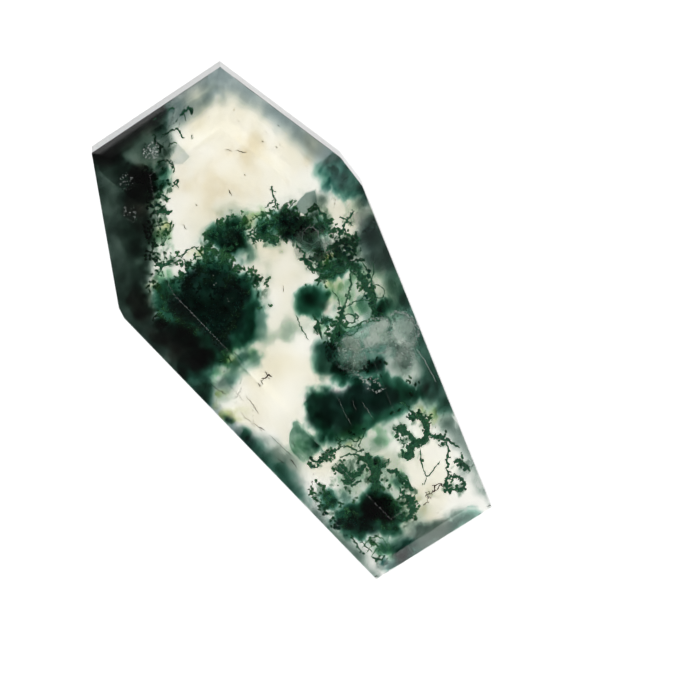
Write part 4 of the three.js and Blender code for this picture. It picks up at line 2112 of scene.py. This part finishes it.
@dataclass
class Studio:
    """The pale floor, the soft light all round and the camera."""

    view: Viewpoint
    floor_half_width: float = 1.5
    floor_drop: float = 0.02
    floor_near: Colour = (0.8, 0.8, 0.8)
    floor_far: Colour = (0.35, 0.35, 0.35)
    floor_roughness: float = 0.9
    floor_specular: float = 0.1
    glow_near: float = 0.85
    glow_far: float = 0.05
    glow_reach_mm: tuple[float, float] = (35.0, 110.0)
    overhead: float = 0.03
    softbox: float = 2.2
    shoulder: float = 0.08
    horizon: float = 1.6
    horizon_top: tuple[float, float] = (0.36, 0.5)
    shoulder_rise: tuple[float, float] = (0.3, 0.5)
    softbox_ring: tuple[float, float, float, float] = (0.84, 0.88, 0.94, 0.97)
    bright_side_deg: float = 38.0
    dim_side: float = 0.06
    bounces: int = 16
    clear_bounces: int = 128

    def make(self) -> None:
        """Makes the floor, the light and the camera, and sets how far light is followed."""
        self._floor()
        self._light()
        self.view.make_camera()
        scene = bpy.context.scene
        scene.view_settings.view_transform = "Standard"
        scene.cycles.max_bounces = self.bounces
        scene.cycles.transparent_max_bounces = self.clear_bounces

    def _floor(self) -> None:
        """Makes the floor: plain, pale and faintly lit from within."""
        reach = self.floor_half_width
        corners = [(-reach, -reach, 0), (reach, -reach, 0), (reach, reach, 0), (-reach, reach, 0)]
        mesh = bpy.data.meshes.new("floor")
        mesh.from_pydata(corners, [], [(0, 1, 2, 3)])
        material, graph = new_material("pale_floor")
        away = graph.node("ShaderNodeVectorMath", {"operation": "LENGTH"}, {0: graph.place()}, "Value")
        near, far = self.glow_reach_mm
        faded = ((away / MM - near) / (far - near)).clamped(0, 1)
        surface = {
            "Base Color": graph.blend(faded, self.floor_near, self.floor_far),
            "Roughness": self.floor_roughness,
            "Specular IOR Level": self.floor_specular,
            "Emission Color": graph.blend(faded, (self.glow_near,) * 3, (self.glow_far,) * 3),
            "Emission Strength": 1.0,
        }
        graph.end(surface)
        mesh.materials.append(material)
        floor = bpy.data.objects.new("floor", mesh)
        floor.location = (0, 0, -self.floor_drop * MM)
        bpy.context.scene.collection.objects.link(floor)

    def _light(self) -> None:
        """Lights the stone from a wide pale dome that is dark right overhead."""
        world = bpy.data.worlds.new("studio")
        world.use_nodes = True
        bpy.context.scene.world = world
        graph = ShaderGraph(world.node_tree)
        place = graph.node("ShaderNodeTexCoord", output="Generated")
        up = graph.node("ShaderNodeSeparateXYZ", None, {0: place}, "Z")
        full, none = self.horizon_top
        ring = graph.ramp(up, [(0.0, self.horizon), (full, self.horizon), (none, 0.0)])
        heights = (*self.shoulder_rise, *self.softbox_ring)
        strengths = (0.0, self.shoulder, self.shoulder, self.softbox, self.softbox, self.overhead)
        bowl = graph.ramp(up, list(zip(heights, strengths)))
        side = math.radians(self.bright_side_deg)
        towards = (math.cos(side), math.sin(side), 0.0)
        product = {"operation": "DOT_PRODUCT"}
        lit = graph.node("ShaderNodeVectorMath", product, {0: place, 1: towards}, "Value")
        lit = lit.clamped(0, 1)
        lit = lit * lit * lit * lit
        colour = ring * (lit * (1 - self.dim_side) + self.dim_side) + bowl
        light = graph.node("ShaderNodeBackground", None, {"Color": colour, "Strength": 1.0})
        graph.add("ShaderNodeOutputWorld", None, {"Surface": light})


def main() -> None:
    """Builds the stone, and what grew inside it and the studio."""
    logging.basicConfig(level=logging.INFO, format="%(name)s %(message)s")
    node = frame["nodes"][STONE_NODE]
    view = Viewpoint()
    facets = Facets(node)
    guide = Guide(view, facets)
    moss, crystal = MOSS.make(), CRYSTAL.make()
    grower = MossGrower(guide, moss)
    for seed, thicket in enumerate(THICKETS, start=11):
        grower.grow(thicket, seed)
    strands = StrandMaker(guide)
    strands.make("moss_sprigs", SPRIGS, moss, Slot.MOSS, seed=41)
    strands.make("fine_hairs", HAIRS, BROWN_HAIR.make(), Slot.MOSS, seed=42)
    stains = StainMaker(guide)
    for seed, stain in enumerate(STAINS + VEILS, start=101):
        stains.make(stain, seed)
    strands.make("cloud_outlines", OUTLINES, crystal, Slot.CLOUD, seed=43)
    GrainMaker(guide).make("crystal_grains", CRYSTALS, crystal, seed=44)
    panes = PaneMaker(guide)
    for pane_set in PANE_SETS:
        panes.make(pane_set)
    CutStone(node).make()
    Studio(view).make()


if __name__ == "__main__":
    main()
